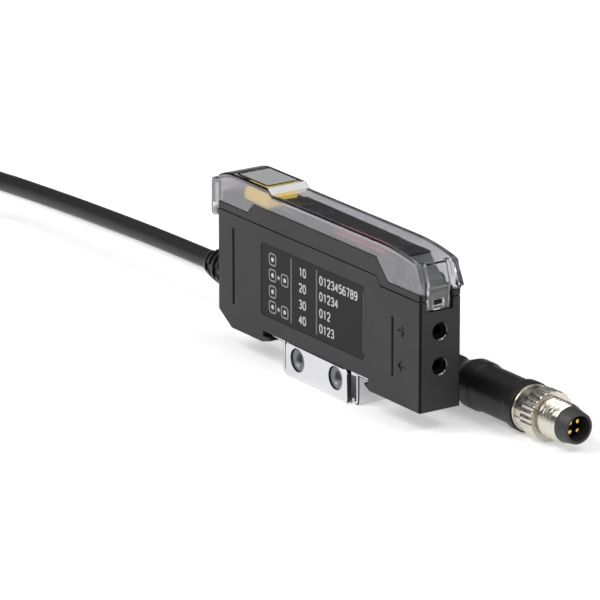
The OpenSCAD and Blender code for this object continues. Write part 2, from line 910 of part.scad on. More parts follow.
module main_board() color("darkgreen") on_rail()
  slab(main_board_y, main_board_y + main_board_t, [
    [main_board_x0, heel_h + 2 * wall],
    [-notch_x, tub_floor + fit],
    [main_board_x1, tub_floor + fit],
    [main_board_x1, main_board_z1],
    [main_board_x0, main_board_z1]
  ]);

// Chips on the board's face, a group of separate solids
chip_t = 1;
chip_rows = [[-9, 9, 7, 7], [5, 8, 5, 4], [-19, 14, 4, 5], [5, 15, 4, 3]];

module board_chips() color([0.12, 0.12, 0.13]) on_rail() {
  for (row = chip_rows)
    block([row[0], main_board_y - chip_t, row[1]], [row[0] + row[2], main_board_y, row[1] + row[3]]);
  rod_y(main_board_y - 2 * chip_t, main_board_y, main_board_x0 + heel_l, case_h - 2 * heel_l, chip_t);
}

shield_t = 0.2;
shield_l = 6;
shield_x1 = guide_x0 - wall - lead_l - over;
shield_x0 = shield_x1 - shield_l;
shield_d = 2.4;
shield_z0 = fibre_high_z - shield_l / 2;
shield_z1 = fibre_high_z + shield_l / 2;
shield_y = main_board_y - shield_d;

module receiver_shield() color("silver") on_rail()
  difference() {
    block([shield_x0, shield_y, shield_z0], [shield_x1, main_board_y, shield_z1]);
    block([shield_x0 + shield_t, shield_y + shield_t, shield_z0 + shield_t],
      [shield_x1 - shield_t, main_board_y + over, shield_z1 - shield_t]);
  }

// Guide behind the front wall: two fibre bores, diode seats and the clamp's slot
module fibre_guide() color([0.2, 0.2, 0.21]) on_rail()
  difference() {
    block([guide_x0, -guide_y, foot_floor + fit], [guide_x1, guide_y, guide_top]);
    for (z = fibre_zs) {
      rod_x(guide_x0 - over, guide_x1 + over, 0, z, fibre_r);
      rod_x(guide_x0 - over, guide_x0 + led_l + fit, 0, z, led_r + fit / 2);
    }
    block([clamp_x - clamp_t / 2 - clamp_gap, -clamp_y - clamp_gap, clamp_low - clamp_travel - clamp_gap],
      [clamp_x + clamp_t / 2 + clamp_gap, clamp_y + clamp_gap, guide_top + over]);
    // Coring pocket in each side, between the fibres
    for (y = [-guide_y, guide_y])
      block([guide_x0 + wall, y - wall / 2, fibre_low_z + led_r + wall / 2],
        [clamp_x - clamp_t, y + wall / 2, fibre_high_z - led_r - wall / 2]);
  }

// Clamp bar: its windows pinch the fibres when the lever pushes it down
module clamp_bar() color([0.75, 0.76, 0.78]) on_rail()
  difference() {
    block([clamp_x - clamp_t / 2, -clamp_y, clamp_low], [clamp_x + clamp_t / 2, clamp_y, clamp_top]);
    for (z = fibre_zs)
      rod_x(clamp_x - clamp_t, clamp_x + clamp_t, 0, z, clamp_window_r);
  }

// Lever: sloped handle, hub round its pin and an eccentric cam over the bar
handle_back = 2.2;
handle_h = 4.6;
handle_front = 2.9;

module clamp_lever() color([0.22, 0.22, 0.23]) on_rail()
  difference() {
    union() {
      slab(-lever_y, lever_y, [
        [pivot_x - handle_back, pivot_z],
        [pivot_x - handle_back, pivot_z + handle_h - hub_r / 2],
        [pivot_x - handle_back + hub_r / 2, pivot_z + handle_h],
        [pivot_x - hub_r, pivot_z + handle_h],
        [pivot_x + handle_front, pivot_z + hub_r],
        [pivot_x + handle_front, pivot_z],
        [pivot_x, pivot_z - hub_r]
      ]);
      rod_y(-lever_y, lever_y, pivot_x, pivot_z, hub_r);
      rod_y(-lever_y, lever_y, pivot_x + cam_throw * sin(cam_rest),
        pivot_z - cam_throw * cos(cam_rest), cam_r);
    }
    rod_y(-lever_y - over, lever_y + over, pivot_x, pivot_z, pivot_r + run);
  }

module clamp_pin() color("silver") on_rail()
  rod_y(-island_y + fit, island_y - fit, pivot_x, pivot_z, pivot_r);

// Diode in the guide's seat, its two leads along the main board's face

module diode(z) {
  rod_x(guide_x0 - fit, guide_x0 + led_l, 0, z, led_r);
  rod_x(guide_x0 - wall, guide_x0 - fit / 2, 0, z, led_flange_r);
  for (side = [-1, 1])
    rod_x(guide_x0 - wall - lead_l, guide_x0 - wall + fit, main_board_y - lead_r - fit / 2,
      z + side * led_r / 2, lead_r);
}

module emitter_led() color("mistyrose") on_rail() diode(fibre_zs[0]);
module receiver_diode() color("lightsteelblue") on_rail() diode(fibre_zs[1]);

// Strain relief: flange and neck in the wall, ribbed taper outside
gland_r0 = 3.4;
gland_r1 = 2.3;
gland_flange_r = 3.5;
gland_flange_t = 1;
gland_groove = 0.45;
rib_share = 0.55;

function gland_r(s) = gland_r0 + (gland_r1 - gland_r0) * s / gland_l;

module cable_gland() color([0.1, 0.1, 0.11]) on_rail()
  translate([rear_x, 0, cable_z])
    rotate([0, -90, 0])
      rotate_extrude()
        polygon(concat(
          [[0, -wall - gland_flange_t], [gland_flange_r, -wall - gland_flange_t],
            [gland_flange_r, -wall], [gland_neck_r, -wall], [gland_neck_r, 0]],
          [for (i = [0 : gland_ribs - 1])
            let (s0 = gland_l * i / gland_ribs, s2 = gland_l * (i + 1) / gland_ribs,
              s1 = s0 + (s2 - s0) * rib_share)
            each [[gland_r(s0), s0], [gland_r(s1), s1], [gland_r(s1) - gland_groove, s1],
              [gland_r(s2) - gland_groove, s2]]],
          [[0, gland_l]]
        ));

wire_r = 0.4;
wire_l = 4;
wire_pitch = 1.2;

module core_wires() color("peru") on_rail()
  for (i = [0 : contact_count - 1])
    rod_x(rear_x + wall + gland_flange_t, rear_x + wall + gland_flange_t + wire_l,
      main_board_y - wire_r, cable_z + wire_pitch * (i - (contact_count - 1) / 2), wire_r);

// Cable: a tube swept along a smooth curve through the route's points
route_last = len(cable_route) - 1;
cable_sides = 10;

function route_at(i) = cable_route[max(0, min(route_last, i))];

function curve_at(i, t) =
  let (a = route_at(i - 1), b = route_at(i), c = route_at(i + 1), d = route_at(i + 2))
  0.5 * (2 * b + (c - a) * t + (2 * a - 5 * b + 4 * c - d) * t * t
    + (3 * b - a - 3 * c + d) * t * t * t);

function steps_of(i) = norm(route_at(i + 1) - route_at(i)) > 3 * cable_r ? 2 : 1;

cable_line = concat(
  [for (i = [0 : route_last - 1], k = [0 : steps_of(i) - 1]) curve_at(i, k / steps_of(i))],
  [route_at(route_last)]
);

function way_at(i) =
  let (last = len(cable_line) - 1,
    v = cable_line[min(last, i + 1)] - cable_line[max(0, i - 1)])
  v / norm(v);

function cable_ring(i) =
  let (way = way_at(i), flat = cross([0, 0, 1], way), side = flat / norm(flat),
    up = cross(way, side))
  [for (k = [0 : cable_sides - 1])
    let (a = 360 * k / cable_sides)
    cable_line[i] + cable_r * (cos(a) * side + sin(a) * up)];

module cable() color([0.1, 0.1, 0.11])
  loft([for (i = [0 : len(cable_line) - 1]) cable_ring(i)]);

// Turns a profile drawn in radius and length about the connector's axis
module turned(profile) {
  translate(connector_at)
    rotate([0, 90, 0])
      rotate_extrude()
        polygon(profile);
}

// Overmoulded grip: collar, neck, bulge, straight grip and flange
collar_r = 3.9;
collar_l = 1.8;
neck_r = 3.45;
neck_l = 3.3;
bulge_r = 5.1;
bulge_s = 8.6;
bulge_l = 3;
grip_body_r = 4.75;
grip_flange_l = 3.2;
bulge_taper = 0.5;
grip_draft = 1.2;
flange_s = grip_l - grip_flange_l;

module connector_body() color([0.11, 0.11, 0.12])
  turned([
    [0, 0],
    [collar_r - ring_edge, 0],
    [collar_r, ring_edge],
    [collar_r, collar_l],
    [neck_r, collar_l + ring_edge],
    [neck_r, collar_l + neck_l],
    [thread_r, collar_l + neck_l + bulge_taper],
    [bulge_r, bulge_s],
    [bulge_r, bulge_s + bulge_l],
    [grip_body_r, bulge_s + bulge_l + grip_draft],
    [grip_body_r, flange_s],
    [grip_r, flange_s + grip_draft],
    [grip_r, grip_l],
    [0, grip_l]
  ]);

module retaining_ring() color("silver")
  turned([
    [stem_r + fit / 2, grip_l],
    [grip_body_r + ring_edge, grip_l],
    [grip_body_r + ring_edge, grip_l + ring_t - fit / 2],
    [stem_r + fit / 2, grip_l + ring_t - fit / 2]
  ]);

ring_s0 = grip_l + ring_t;
ring_s1 = ring_s0 + nut_l;
ring_s2 = ring_s1 + knurl_l;
ring_s3 = ring_s2 + thread_l;
knurl_count = 24;
knurl_d = 0.3;
knurl_cut_r = 0.35;
slot_cut = 1.4;
thread_end = 0.5;

// Coupling ring: slotted lower part, knurl and thread
module coupling_ring() color("silver")
  difference() {
    turned([
      [stem_r + fit / 2, ring_s0],
      [grip_body_r - ring_edge, ring_s0],
      [grip_body_r, ring_s0 + ring_edge],
      [grip_body_r, ring_s1],
      [grip_r - ring_edge, ring_s1],
      [grip_r, ring_s1 + ring_edge],
      [grip_r, ring_s2 - ring_edge],
      [grip_r - ring_edge, ring_s2],
      [thread_r - ring_edge, ring_s2],
      [thread_r, ring_s2 + ring_edge],
      [thread_r, ring_s3 - thread_end],
      [thread_r - thread_end, ring_s3],
      [stem_r + fit / 2, ring_s3]
    ]);
    translate(connector_at)
      rotate([0, 90, 0]) {
        for (i = [0 : knurl_count - 1])
          rotate([0, 0, 360 * (i + 0.5) / knurl_count])
            translate([grip_r + knurl_cut_r - knurl_d, 0, ring_s1 - over])
              cylinder(r = knurl_cut_r, h = knurl_l + 2 * over, $fn = 16);
        for (i = [0 : 1])
          rotate([0, 0, 180 * i])
            translate([grip_body_r - knurl_d, -slot_cut / 2, ring_s0 - over])
              cube([grip_r, slot_cut, nut_l + over]);
      }
  }

// Insert: stem through the ring, hollow tip with a key
key_w = 0.9;
key_h = 0.5;

module contact_carrier() color([0.13, 0.13, 0.14])
  difference() {
    union() {
      turned([
        [0, grip_l],
        [stem_r, grip_l],
        [stem_r, ring_s3 + fit / 2],
        [tip_r, ring_s3 + fit / 2],
        [tip_end_r, ring_s3 + tip_l],
        [tip_bore_r, ring_s3 + tip_l],
        [tip_bore_r, ring_s3 + tip_l - tip_bore_l],
        [0, ring_s3 + tip_l - tip_bore_l]
      ]);
      translate(connector_at + [ring_s3 + tip_l - tip_bore_l - fit, -key_w / 2, tip_bore_r - key_h])
        cube([tip_bore_l - tip_l / 3, key_w, 2 * key_h]);
    }
    contacts(fit / 5);
  }

contact_s0 = grip_l + wall;
contact_s1 = ring_s3 + tip_l / 2;

module contacts(grow) {
  translate(connector_at)
    rotate([0, 90, 0])
      for (i = [0 : contact_count - 1])
        rotate([0, 0, 45 + 360 * i / contact_count])
          translate([contact_ring_r, 0, contact_s0 - grow])
            cylinder(r = contact_r + grow, h = contact_s1 - contact_s0 + 2 * grow);
}

module contact_pins() color("gold") contacts(0);

// Rail stub: hat section with a bent-up flange on the near side
flange_x = flange_l / 2;
relief_r = 0.5;
bend_r = 0.9;
bush_r = 2.5;
bush_rise = 0.7;
bush_z = rail_h / 2 + bush_rise;
flange_in = side_y - sheet;
flange_top = rail_h - fit;

function hat_outline() = let (half = rail_w / 2, web = rail_web_w / 2) concat(
  [[-half, rail_h], [-half, rail_h - sheet], [-web, rail_h - sheet]],
  arc(-web + bend_r, bend_r, bend_r, 180, 270, arc_steps),
  arc(web - bend_r, bend_r, bend_r, 270, 360, arc_steps),
  [[web, rail_h - sheet], [half, rail_h - sheet], [half, rail_h], [web - sheet, rail_h],
    [web - sheet, sheet], [-web + sheet, sheet], [-web + sheet, rail_h]]
);

module din_bracket() color([0.82, 0.82, 0.84])
  difference() {
    union() {
      difference() {
        slab(-side_y + sheet, side_y, hat_outline());
        // The base is cut back beside the flange, which stands in front of the profile
        for (side = [-1, 1])
          translate([side * (flange_x + relief_r), -side_y + sheet, -over])
            cylinder(r = relief_r, h = sheet + 2 * over);
      }
      translate([0, -side_y + sheet, 0])
        rotate([90, 0, 0])
          linear_extrude(sheet)
            round_rect([-flange_x, 0], [flange_x, flange_top], bend_r);
    }
    for (side = [-1, 1])
      rod_y(-side_y - over, -flange_in + over, side * bush_pitch / 2, bush_z, bush_r);
  }

bush_sink = 0.4;

module clinch_nuts() color([0.7, 0.7, 0.72])
  for (side = [-1, 1])
    difference() {
      rod_y(-side_y + bush_sink, -flange_in + sheet, side * bush_pitch / 2, bush_z, bush_r - fit / 5);
      rod_y(-side_y - over, -flange_in + sheet + over, side * bush_pitch / 2, bush_z, bush_bore_r);
    }

case();
bezel();
cover();
hinge_pin();
status_lamp();
display_window();
set_button();
mode_button();
set_switch();
mode_switch();
status_led();
display_board();
main_digits();
small_digits();
board_link();
main_board();
board_chips();
receiver_shield();
fibre_guide();
clamp_bar();
clamp_lever();
clamp_pin();
emitter_led();
receiver_diode();
cable_gland();
core_wires();
cable();
connector_body();
retaining_ring();
coupling_ring();
contact_carrier();
contact_pins();
din_bracket();
clinch_nuts();
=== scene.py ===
import json
import math
import bmesh
import bpy
import numpy as np
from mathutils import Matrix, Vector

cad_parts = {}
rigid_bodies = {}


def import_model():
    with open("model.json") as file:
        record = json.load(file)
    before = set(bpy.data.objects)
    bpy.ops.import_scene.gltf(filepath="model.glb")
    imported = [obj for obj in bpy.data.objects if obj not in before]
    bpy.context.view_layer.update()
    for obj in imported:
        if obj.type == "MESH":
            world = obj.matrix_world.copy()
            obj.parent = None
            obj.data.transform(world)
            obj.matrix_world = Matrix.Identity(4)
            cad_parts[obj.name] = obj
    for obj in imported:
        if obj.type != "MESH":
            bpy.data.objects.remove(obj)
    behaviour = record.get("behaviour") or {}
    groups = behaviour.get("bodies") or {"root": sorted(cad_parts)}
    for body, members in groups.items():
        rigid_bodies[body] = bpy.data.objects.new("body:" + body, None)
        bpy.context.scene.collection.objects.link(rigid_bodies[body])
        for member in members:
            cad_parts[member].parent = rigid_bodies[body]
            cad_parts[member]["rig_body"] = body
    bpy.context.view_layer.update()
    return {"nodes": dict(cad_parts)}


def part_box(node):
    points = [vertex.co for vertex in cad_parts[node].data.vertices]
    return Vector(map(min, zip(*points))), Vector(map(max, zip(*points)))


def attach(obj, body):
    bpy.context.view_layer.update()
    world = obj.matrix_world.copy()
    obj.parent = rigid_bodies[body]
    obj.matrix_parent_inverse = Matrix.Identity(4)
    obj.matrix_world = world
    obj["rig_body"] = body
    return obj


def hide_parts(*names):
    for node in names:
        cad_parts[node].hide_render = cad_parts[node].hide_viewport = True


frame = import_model()
nodes = frame["nodes"]
mm = 0.001
print("frame loaded")


# Small tools

def linear(hexText):
    # each sRGB channel is undone with the 2.4 power curve of the standard
    channels = [int(hexText[i:i + 2], 16) / 255 for i in (1, 3, 5)]
    return [c / 12.92 if c <= 0.04045 else ((c + 0.055) / 1.055) ** 2.4 for c in channels] + [1.0]


def addNode(tree, kind, inputs=None, **settings):
    # adds one node, sets its properties, then fills or links its sockets
    node = tree.nodes.new(kind)
    for key, value in settings.items():
        setattr(node, key, value)
    for socket, value in (inputs or {}).items():
        if isinstance(value, bpy.types.NodeSocket):
            tree.links.new(value, node.inputs[socket])
        else:
            node.inputs[socket].default_value = value
    return node


def newMaterial(name, colour, roughness, **sockets):
    material = bpy.data.materials.new(name)
    material.use_nodes = True
    shader = material.node_tree.nodes["Principled BSDF"]
    shader.inputs["Base Color"].default_value = linear(colour)
    shader.inputs["Roughness"].default_value = roughness
    for key, value in sockets.items():
        shader.inputs[key.replace("_", " ")].default_value = value
    return material, material.node_tree, shader


def bodyOf(nodeName):
    return nodes[nodeName]["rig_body"]


def roundAngles(count):
    # evenly spaced angles of one turn
    return np.linspace(0, 2 * math.pi, count, endpoint=False)


def meshPiece(name, points, faces, material, body, sharp=35):
    mesh = bpy.data.meshes.new(name)
    mesh.from_pydata(np.asarray(points).tolist(), [], faces)
    mesh.validate()
    mesh.materials.append(material)
    mesh.shade_smooth()
    mesh.set_sharp_from_angle(angle=math.radians(sharp))
    piece = bpy.data.objects.new(name, mesh)
    bpy.context.scene.collection.objects.link(piece)
    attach(piece, body)
    return piece


def gridFaces(rows, columns, closeRows=False, closeColumns=False):
    # quads between neighbours of a grid, the last row or column joined to the first where asked
    i = np.arange(rows if closeRows else rows - 1)
    j = np.arange(columns if closeColumns else columns - 1)
    i, j = [a.ravel() for a in np.meshgrid(i, j, indexing="ij")]
    ni, nj = (i + 1) % rows, (j + 1) % columns
    return np.stack([i * columns + j, i * columns + nj, ni * columns + nj, ni * columns + j], 1).tolist()


# Camera, fitted to the photograph: all in millimetres
cameraView = {"place": (853.46, -585.76, 346.0), "target": (-13.103, 0.0, 14.585), "lens": 324.15,
              "sensor": 36, "seesFrom": 50}

camera = bpy.data.objects.new("camera", bpy.data.cameras.new("camera"))
bpy.context.scene.collection.objects.link(camera)
place = np.array(cameraView["place"]) * mm
away = place - np.array(cameraView["target"]) * mm
camera.location = place
camera.rotation_euler = (
    math.atan2(math.hypot(away[0], away[1]), away[2]), 0, math.atan2(away[1], away[0]) + math.pi / 2)
camera.data.lens = cameraView["lens"]
camera.data.sensor_width = cameraView["sensor"]
camera.data.clip_start = cameraView["seesFrom"] * mm
bpy.context.scene.camera = camera
print("camera placed")


# Materials

def mouldedHousing():
    # glass-filled PBT, injection moulded on a spark-eroded tool: an even, fine grain that scatters gloss
    grainMm = 0.22  # real grain is nearer 0.05 mm, drawn coarser so that it shows
    material, tree, shader = newMaterial("mouldedPbtBlack", "#222123", 0.46, Specular_IOR_Level=0.36)
    coords = addNode(tree, "ShaderNodeTexCoord")
    grain = addNode(tree, "ShaderNodeTexNoise", {
        "Vector": coords.outputs["Object"], "Scale": 1 / (grainMm * mm), "Detail": 3.0})
    patches = addNode(tree, "ShaderNodeTexNoise", {
        "Vector": coords.outputs["Object"], "Scale": 1 / (9 * mm), "Detail": 2.0})
    rough = addNode(tree, "ShaderNodeMapRange", {
        "Value": patches.outputs["Fac"], "From Min": 0.3, "From Max": 0.7, "To Min": 0.42, "To Max": 0.5})
    bump = addNode(tree, "ShaderNodeBump", {
        "Height": grain.outputs["Fac"], "Strength": 0.3, "Distance": 0.02 * mm})
    tree.links.new(rough.outputs["Result"], shader.inputs["Roughness"])
    tree.links.new(bump.outputs["Normal"], shader.inputs["Normal"])
    return material


def paintedShade():
    # the same plastic, matt and blackest, as painted shade: a dark line down the front corners, and the fibre
    # holes and their guide painted black for their shade
    return newMaterial("mouldedPbtPaintedShade", "#0e0e0f", 0.6, Specular_IOR_Level=0.12)[0]


def glossyBorePaintedShade():
    # the same plastic against the polished cone of the fibre holes' core pins: glossy, so that a lamp glints
    # in it, and black as painted shade of the holes' mouths
    return newMaterial("polishedPbtPaintedShade", "#050505", 0.2, Specular_IOR_Level=1.0)[0]


def legendFoil():
    # matt printed foil set in the side's recess, a shade darker than the housing
    material, tree, shader = newMaterial("printedPolyesterFoil", "#151417", 0.5, Specular_IOR_Level=0.2)
    coords = addNode(tree, "ShaderNodeTexCoord")
    matting = addNode(tree, "ShaderNodeTexNoise", {
        "Vector": coords.outputs["Object"], "Scale": 1 / (0.12 * mm), "Detail": 1.0})
    bump = addNode(tree, "ShaderNodeBump", {
        "Height": matting.outputs["Fac"], "Strength": 0.2, "Distance": 0.01 * mm})
    tree.links.new(bump.outputs["Normal"], shader.inputs["Normal"])
    return material


def clearPolycarbonate():
    # clear polycarbonate from a polished tool: bright reflections, dark refracted edges
    material, tree, shader = newMaterial("clearPolycarbonate", "#fbfcfd", 0.03, IOR=1.585,
                                         Transmission_Weight=1.0)
    coords = addNode(tree, "ShaderNodeTexCoord")
    flow = addNode(tree, "ShaderNodeTexNoise", {
        "Vector": coords.outputs["Object"], "Scale": 1 / (7 * mm), "Detail": 1.0})
    bump = addNode(tree, "ShaderNodeBump", {
        "Height": flow.outputs["Fac"], "Strength": 0.25, "Distance": 0.06 * mm})
    tree.links.new(bump.outputs["Normal"], shader.inputs["Normal"])
    return material


def paintedDarkCoverEdge():
    # the cover's rounded long edges, tinted dark as painted shade for the dark wall that refraction shows
    # there, so they read as a dark line
    return newMaterial("clearPolycarbonatePaintedShade", "#3c4042", 0.05, IOR=1.585, Transmission_Weight=1.0)[0]


def satinPolycarbonate():
    # the cover's side walls, drawn from the mould with a fine satin, hold some light
    return newMaterial("satinPolycarbonate", "#dedce2", 0.27, IOR=1.585, Transmission_Weight=0.9)[0]


def frostedField(name, shade, through):
    # spark-eroded polycarbonate of the hump's bare field and front slope: scatters what is seen through it
    material, tree, shader = newMaterial(name, shade, 0.42, IOR=1.585, Transmission_Weight=through)
    coords = addNode(tree, "ShaderNodeTexCoord")
    frost = addNode(tree, "ShaderNodeTexNoise", {
        "Vector": coords.outputs["Object"], "Scale": 1 / (0.25 * mm), "Detail": 2.0})
    bump = addNode(tree, "ShaderNodeBump", {
        "Height": frost.outputs["Fac"], "Strength": 0.4, "Distance": 0.03 * mm})
    tree.links.new(bump.outputs["Normal"], shader.inputs["Normal"])
    return material


def darkOutlineShade():
    # gloss black round the hump's field and on its rear arc: painted shade, standing for the dark outline
    # that the hump's refracting edges show
    return newMaterial("blackOutlinePaintedShade", "#0b0b0c", 0.25)[0]


def yellowLightGuide():
    # tinted acrylic light guide, satin faces; a weak emission paints a glow inside it, standing for light
    # that enters its top
    material, tree, shader = newMaterial("paintedGlowYellowAcrylic", "#f5d54c", 0.22, IOR=1.49, Subsurface_Weight=0.35,
                                         Subsurface_Scale=2 * mm)
    shader.inputs["Subsurface Radius"].default_value = (1.0, 0.8, 0.3)
    shader.inputs["Emission Color"].default_value = linear("#ffda62")
    shader.inputs["Emission Strength"].default_value = 0.58
    return material


def redAcrylic():
    # red filter acrylic over the digits, polished; its colour goes from red to near black across Y towards
    # its far half
    material, tree, shader = newMaterial("redFilterAcrylic", "#c23a50", 0.08, IOR=1.49,
                                         Transmission_Weight=0.1)
    coords = addNode(tree, "ShaderNodeTexCoord")
    place = addNode(tree, "ShaderNodeSeparateXYZ", {0: coords.outputs["Object"]})
    mask = addNode(tree, "ShaderNodeMapRange", {
        "Value": place.outputs["Y"], "From Min": -1.3 * mm, "From Max": -0.5 * mm,
        "To Min": 0.0, "To Max": 1.0})
    colour = addNode(tree, "ShaderNodeMix", {
        0: mask.outputs["Result"], 6: linear("#b03a50"), 7: linear("#1c1012")}, data_type="RGBA")
    tree.links.new(colour.outputs[2], shader.inputs["Base Color"])
    return material


def redPaintedGlow():
    # the filter's cut sides and its rim on the panel: a weak red emission, a painted glow, makes them
    # brighter as if light gathered in the tinted sheet came out there
    material, tree, shader = newMaterial("redFilterPaintedGlow", "#b04450", 0.3, Transmission_Weight=0.2)
    shader.inputs["Emission Color"].default_value = linear("#ff8a96")
    shader.inputs["Emission Strength"].default_value = 0.14
    return material


def mouldedAcetal(name, shade, roughness, grainMm):
    # moulded acetal of the clamp's lever and the buttons: satin, slightly waxy
    material, tree, shader = newMaterial(name, shade, roughness)
    coords = addNode(tree, "ShaderNodeTexCoord")
    wax = addNode(tree, "ShaderNodeTexNoise", {
        "Vector": coords.outputs["Object"], "Scale": 1 / (grainMm * mm), "Detail": 2.0})
    bump = addNode(tree, "ShaderNodeBump", {
        "Height": wax.outputs["Fac"], "Strength": 0.2, "Distance": 0.02 * mm})
    tree.links.new(bump.outputs["Normal"], shader.inputs["Normal"])
    return material


def cableSheath():
    # extruded polyurethane sheath and overmould: satin black with a faint mottle in its gloss
    material, tree, shader = newMaterial("blackPolyurethane", "#131314", 0.42, Specular_IOR_Level=0.4)
    coords = addNode(tree, "ShaderNodeTexCoord")
    skin = addNode(tree, "ShaderNodeTexNoise", {
        "Vector": coords.outputs["Object"], "Scale": 1 / (0.5 * mm), "Detail": 3.0})
    rough = addNode(tree, "ShaderNodeMapRange", {
        "Value": skin.outputs["Fac"], "From Min": 0.3, "From Max": 0.7, "To Min": 0.38, "To Max": 0.5})
    bump = addNode(tree, "ShaderNodeBump", {
        "Height": skin.outputs["Fac"], "Strength": 0.25, "Distance": 0.02 * mm})
    tree.links.new(rough.outputs["Result"], shader.inputs["Roughness"])
    tree.links.new(bump.outputs["Normal"], shader.inputs["Normal"])
    return material


def nickelPlate():
    # nickel-plated turned brass: warm grey mirror, with fine turning marks that spread the gloss
    material, tree, shader = newMaterial("nickelPlatedBrass", "#cfcabf", 0.24, Metallic=1.0)
    coords = addNode(tree, "ShaderNodeTexCoord")
    marks = addNode(tree, "ShaderNodeTexNoise", {
        "Vector": coords.outputs["Object"], "Scale": 1 / (0.7 * mm), "Detail": 4.0})
    rough = addNode(tree, "ShaderNodeMapRange", {
        "Value": marks.outputs["Fac"], "From Min": 0.3, "From Max": 0.7, "To Min": 0.18, "To Max": 0.32})
    tree.links.new(rough.outputs["Result"], shader.inputs["Roughness"])
    return material


def zincSheet():
    # bright zinc-plated spring steel sheet: pale, rolled in one direction, with faint streaks along it
    material, tree, shader = newMaterial("zincPlatedSteel", "#dcdcde", 0.3, Metallic=1.0)
    coords = addNode(tree, "ShaderNodeTexCoord")
    stretch = addNode(tree, "ShaderNodeMapping", {
        "Vector": coords.outputs["Object"], "Scale": (0.12, 1.0, 1.0)})
    streaks = addNode(tree, "ShaderNodeTexNoise", {
        "Vector": stretch.outputs["Vector"], "Scale": 1 / (0.4 * mm), "Detail": 4.0})
    rough = addNode(tree, "ShaderNodeMapRange", {
        "Value": streaks.outputs["Fac"], "From Min": 0.3, "From Max": 0.7, "To Min": 0.26, "To Max": 0.4})
    bump = addNode(tree, "ShaderNodeBump", {
        "Height": streaks.outputs["Fac"], "Strength": 0.12, "Distance": 0.01 * mm})
    tree.links.new(rough.outputs["Result"], shader.inputs["Roughness"])
    tree.links.new(bump.outputs["Normal"], shader.inputs["Normal"])
    return material


def shearedSteel():
    # the same sheet's sheared edges: torn steel under a thinner plating, darker and duller; the dark also
    # paints an outline of shade round the flange
    return newMaterial("shearedEdgeAndPaintedOutline", "#48494d", 0.5, Metallic=1.0)[0]


def plainSteel():
    # turned and rolled steel of pins, clamp bar and shield, with fine tool marks
    material, tree, shader = newMaterial("turnedSteel", "#8f9093", 0.3, Metallic=1.0)
    coords = addNode(tree, "ShaderNodeTexCoord")
    marks = addNode(tree, "ShaderNodeTexNoise", {
        "Vector": coords.outputs["Object"], "Scale": 1 / (0.3 * mm), "Detail": 3.0})
    rough = addNode(tree, "ShaderNodeMapRange", {
        "Value": marks.outputs["Fac"], "From Min": 0.3, "From Max": 0.7, "To Min": 0.24, "To Max": 0.42})
    tree.links.new(rough.outputs["Result"], shader.inputs["Roughness"])
    return material


def phosphatedSteel():
    # turned steel of the threaded bushes, phosphated: grey and satin
    material, tree, shader = newMaterial("phosphatedSteel", "#86878b", 0.55, Metallic=0.8)
    coords = addNode(tree, "ShaderNodeTexCoord")
    crystals = addNode(tree, "ShaderNodeTexNoise", {
        "Vector": coords.outputs["Object"], "Scale": 1 / (0.12 * mm), "Detail": 2.0})
    rough = addNode(tree, "ShaderNodeMapRange", {
        "Value": crystals.outputs["Fac"], "From Min": 0.3, "From Max": 0.7, "To Min": 0.48, "To Max": 0.62})
    tree.links.new(rough.outputs["Result"], shader.inputs["Roughness"])
    return material


def goldContact():
    # gold-flashed brass contacts
    return newMaterial("goldFlashedBrass", "#d9b25f", 0.2, Metallic=1.0)[0]


def strandedCopper():
    # bare copper of the cable's cores, drawn and still bright
    return newMaterial("copperStrand", "#c98a5e", 0.3, Metallic=1.0)[0]


def solderMask():
    # glass epoxy laminate under green solder mask, with copper tracks as faint paler lines
    material, tree, shader = newMaterial("solderMaskGreen", "#1d5a3a", 0.35)
    coords = addNode(tree, "ShaderNodeTexCoord")
    tracks = addNode(tree, "ShaderNodeTexBrick", {
        "Vector": coords.outputs["Object"], "Scale": 1 / (4 * mm), "Mortar Size": 0.03,
        "Color1": linear("#1d5a3a"), "Color2": linear("#1a5236"), "Mortar": linear("#2f7a50")})
    tree.links.new(tracks.outputs["Color"], shader.inputs["Base Color"])
    return material


def darkEpoxy():
    # transfer-moulded epoxy of chips, switches and the connector's insert
    material, tree, shader = newMaterial("blackEpoxy", "#2b2b2c", 0.5)
    coords = addNode(tree, "ShaderNodeTexCoord")
    grain = addNode(tree, "ShaderNodeTexNoise", {
        "Vector": coords.outputs["Object"], "Scale": 1 / (0.15 * mm), "Detail": 2.0})
    bump = addNode(tree, "ShaderNodeBump", {
        "Height": grain.outputs["Fac"], "Strength": 0.25, "Distance": 0.02 * mm})
    tree.links.new(bump.outputs["Normal"], shader.inputs["Normal"])
    return material


def diodeResin():
    # cast resin of light-emitting diodes and digit blocks
    return newMaterial("paleCastResin", "#d8d2c2", 0.25, Subsurface_Weight=0.2, Subsurface_Scale=1 * mm)[0]


def padPrint(name, shade):
    # satin pad-printed ink: white for numbers, grey for icons, dark grey for the lines between the columns
    # and for a painted highlight along the foil's right edge
    return newMaterial(name, shade, 0.5)[0]


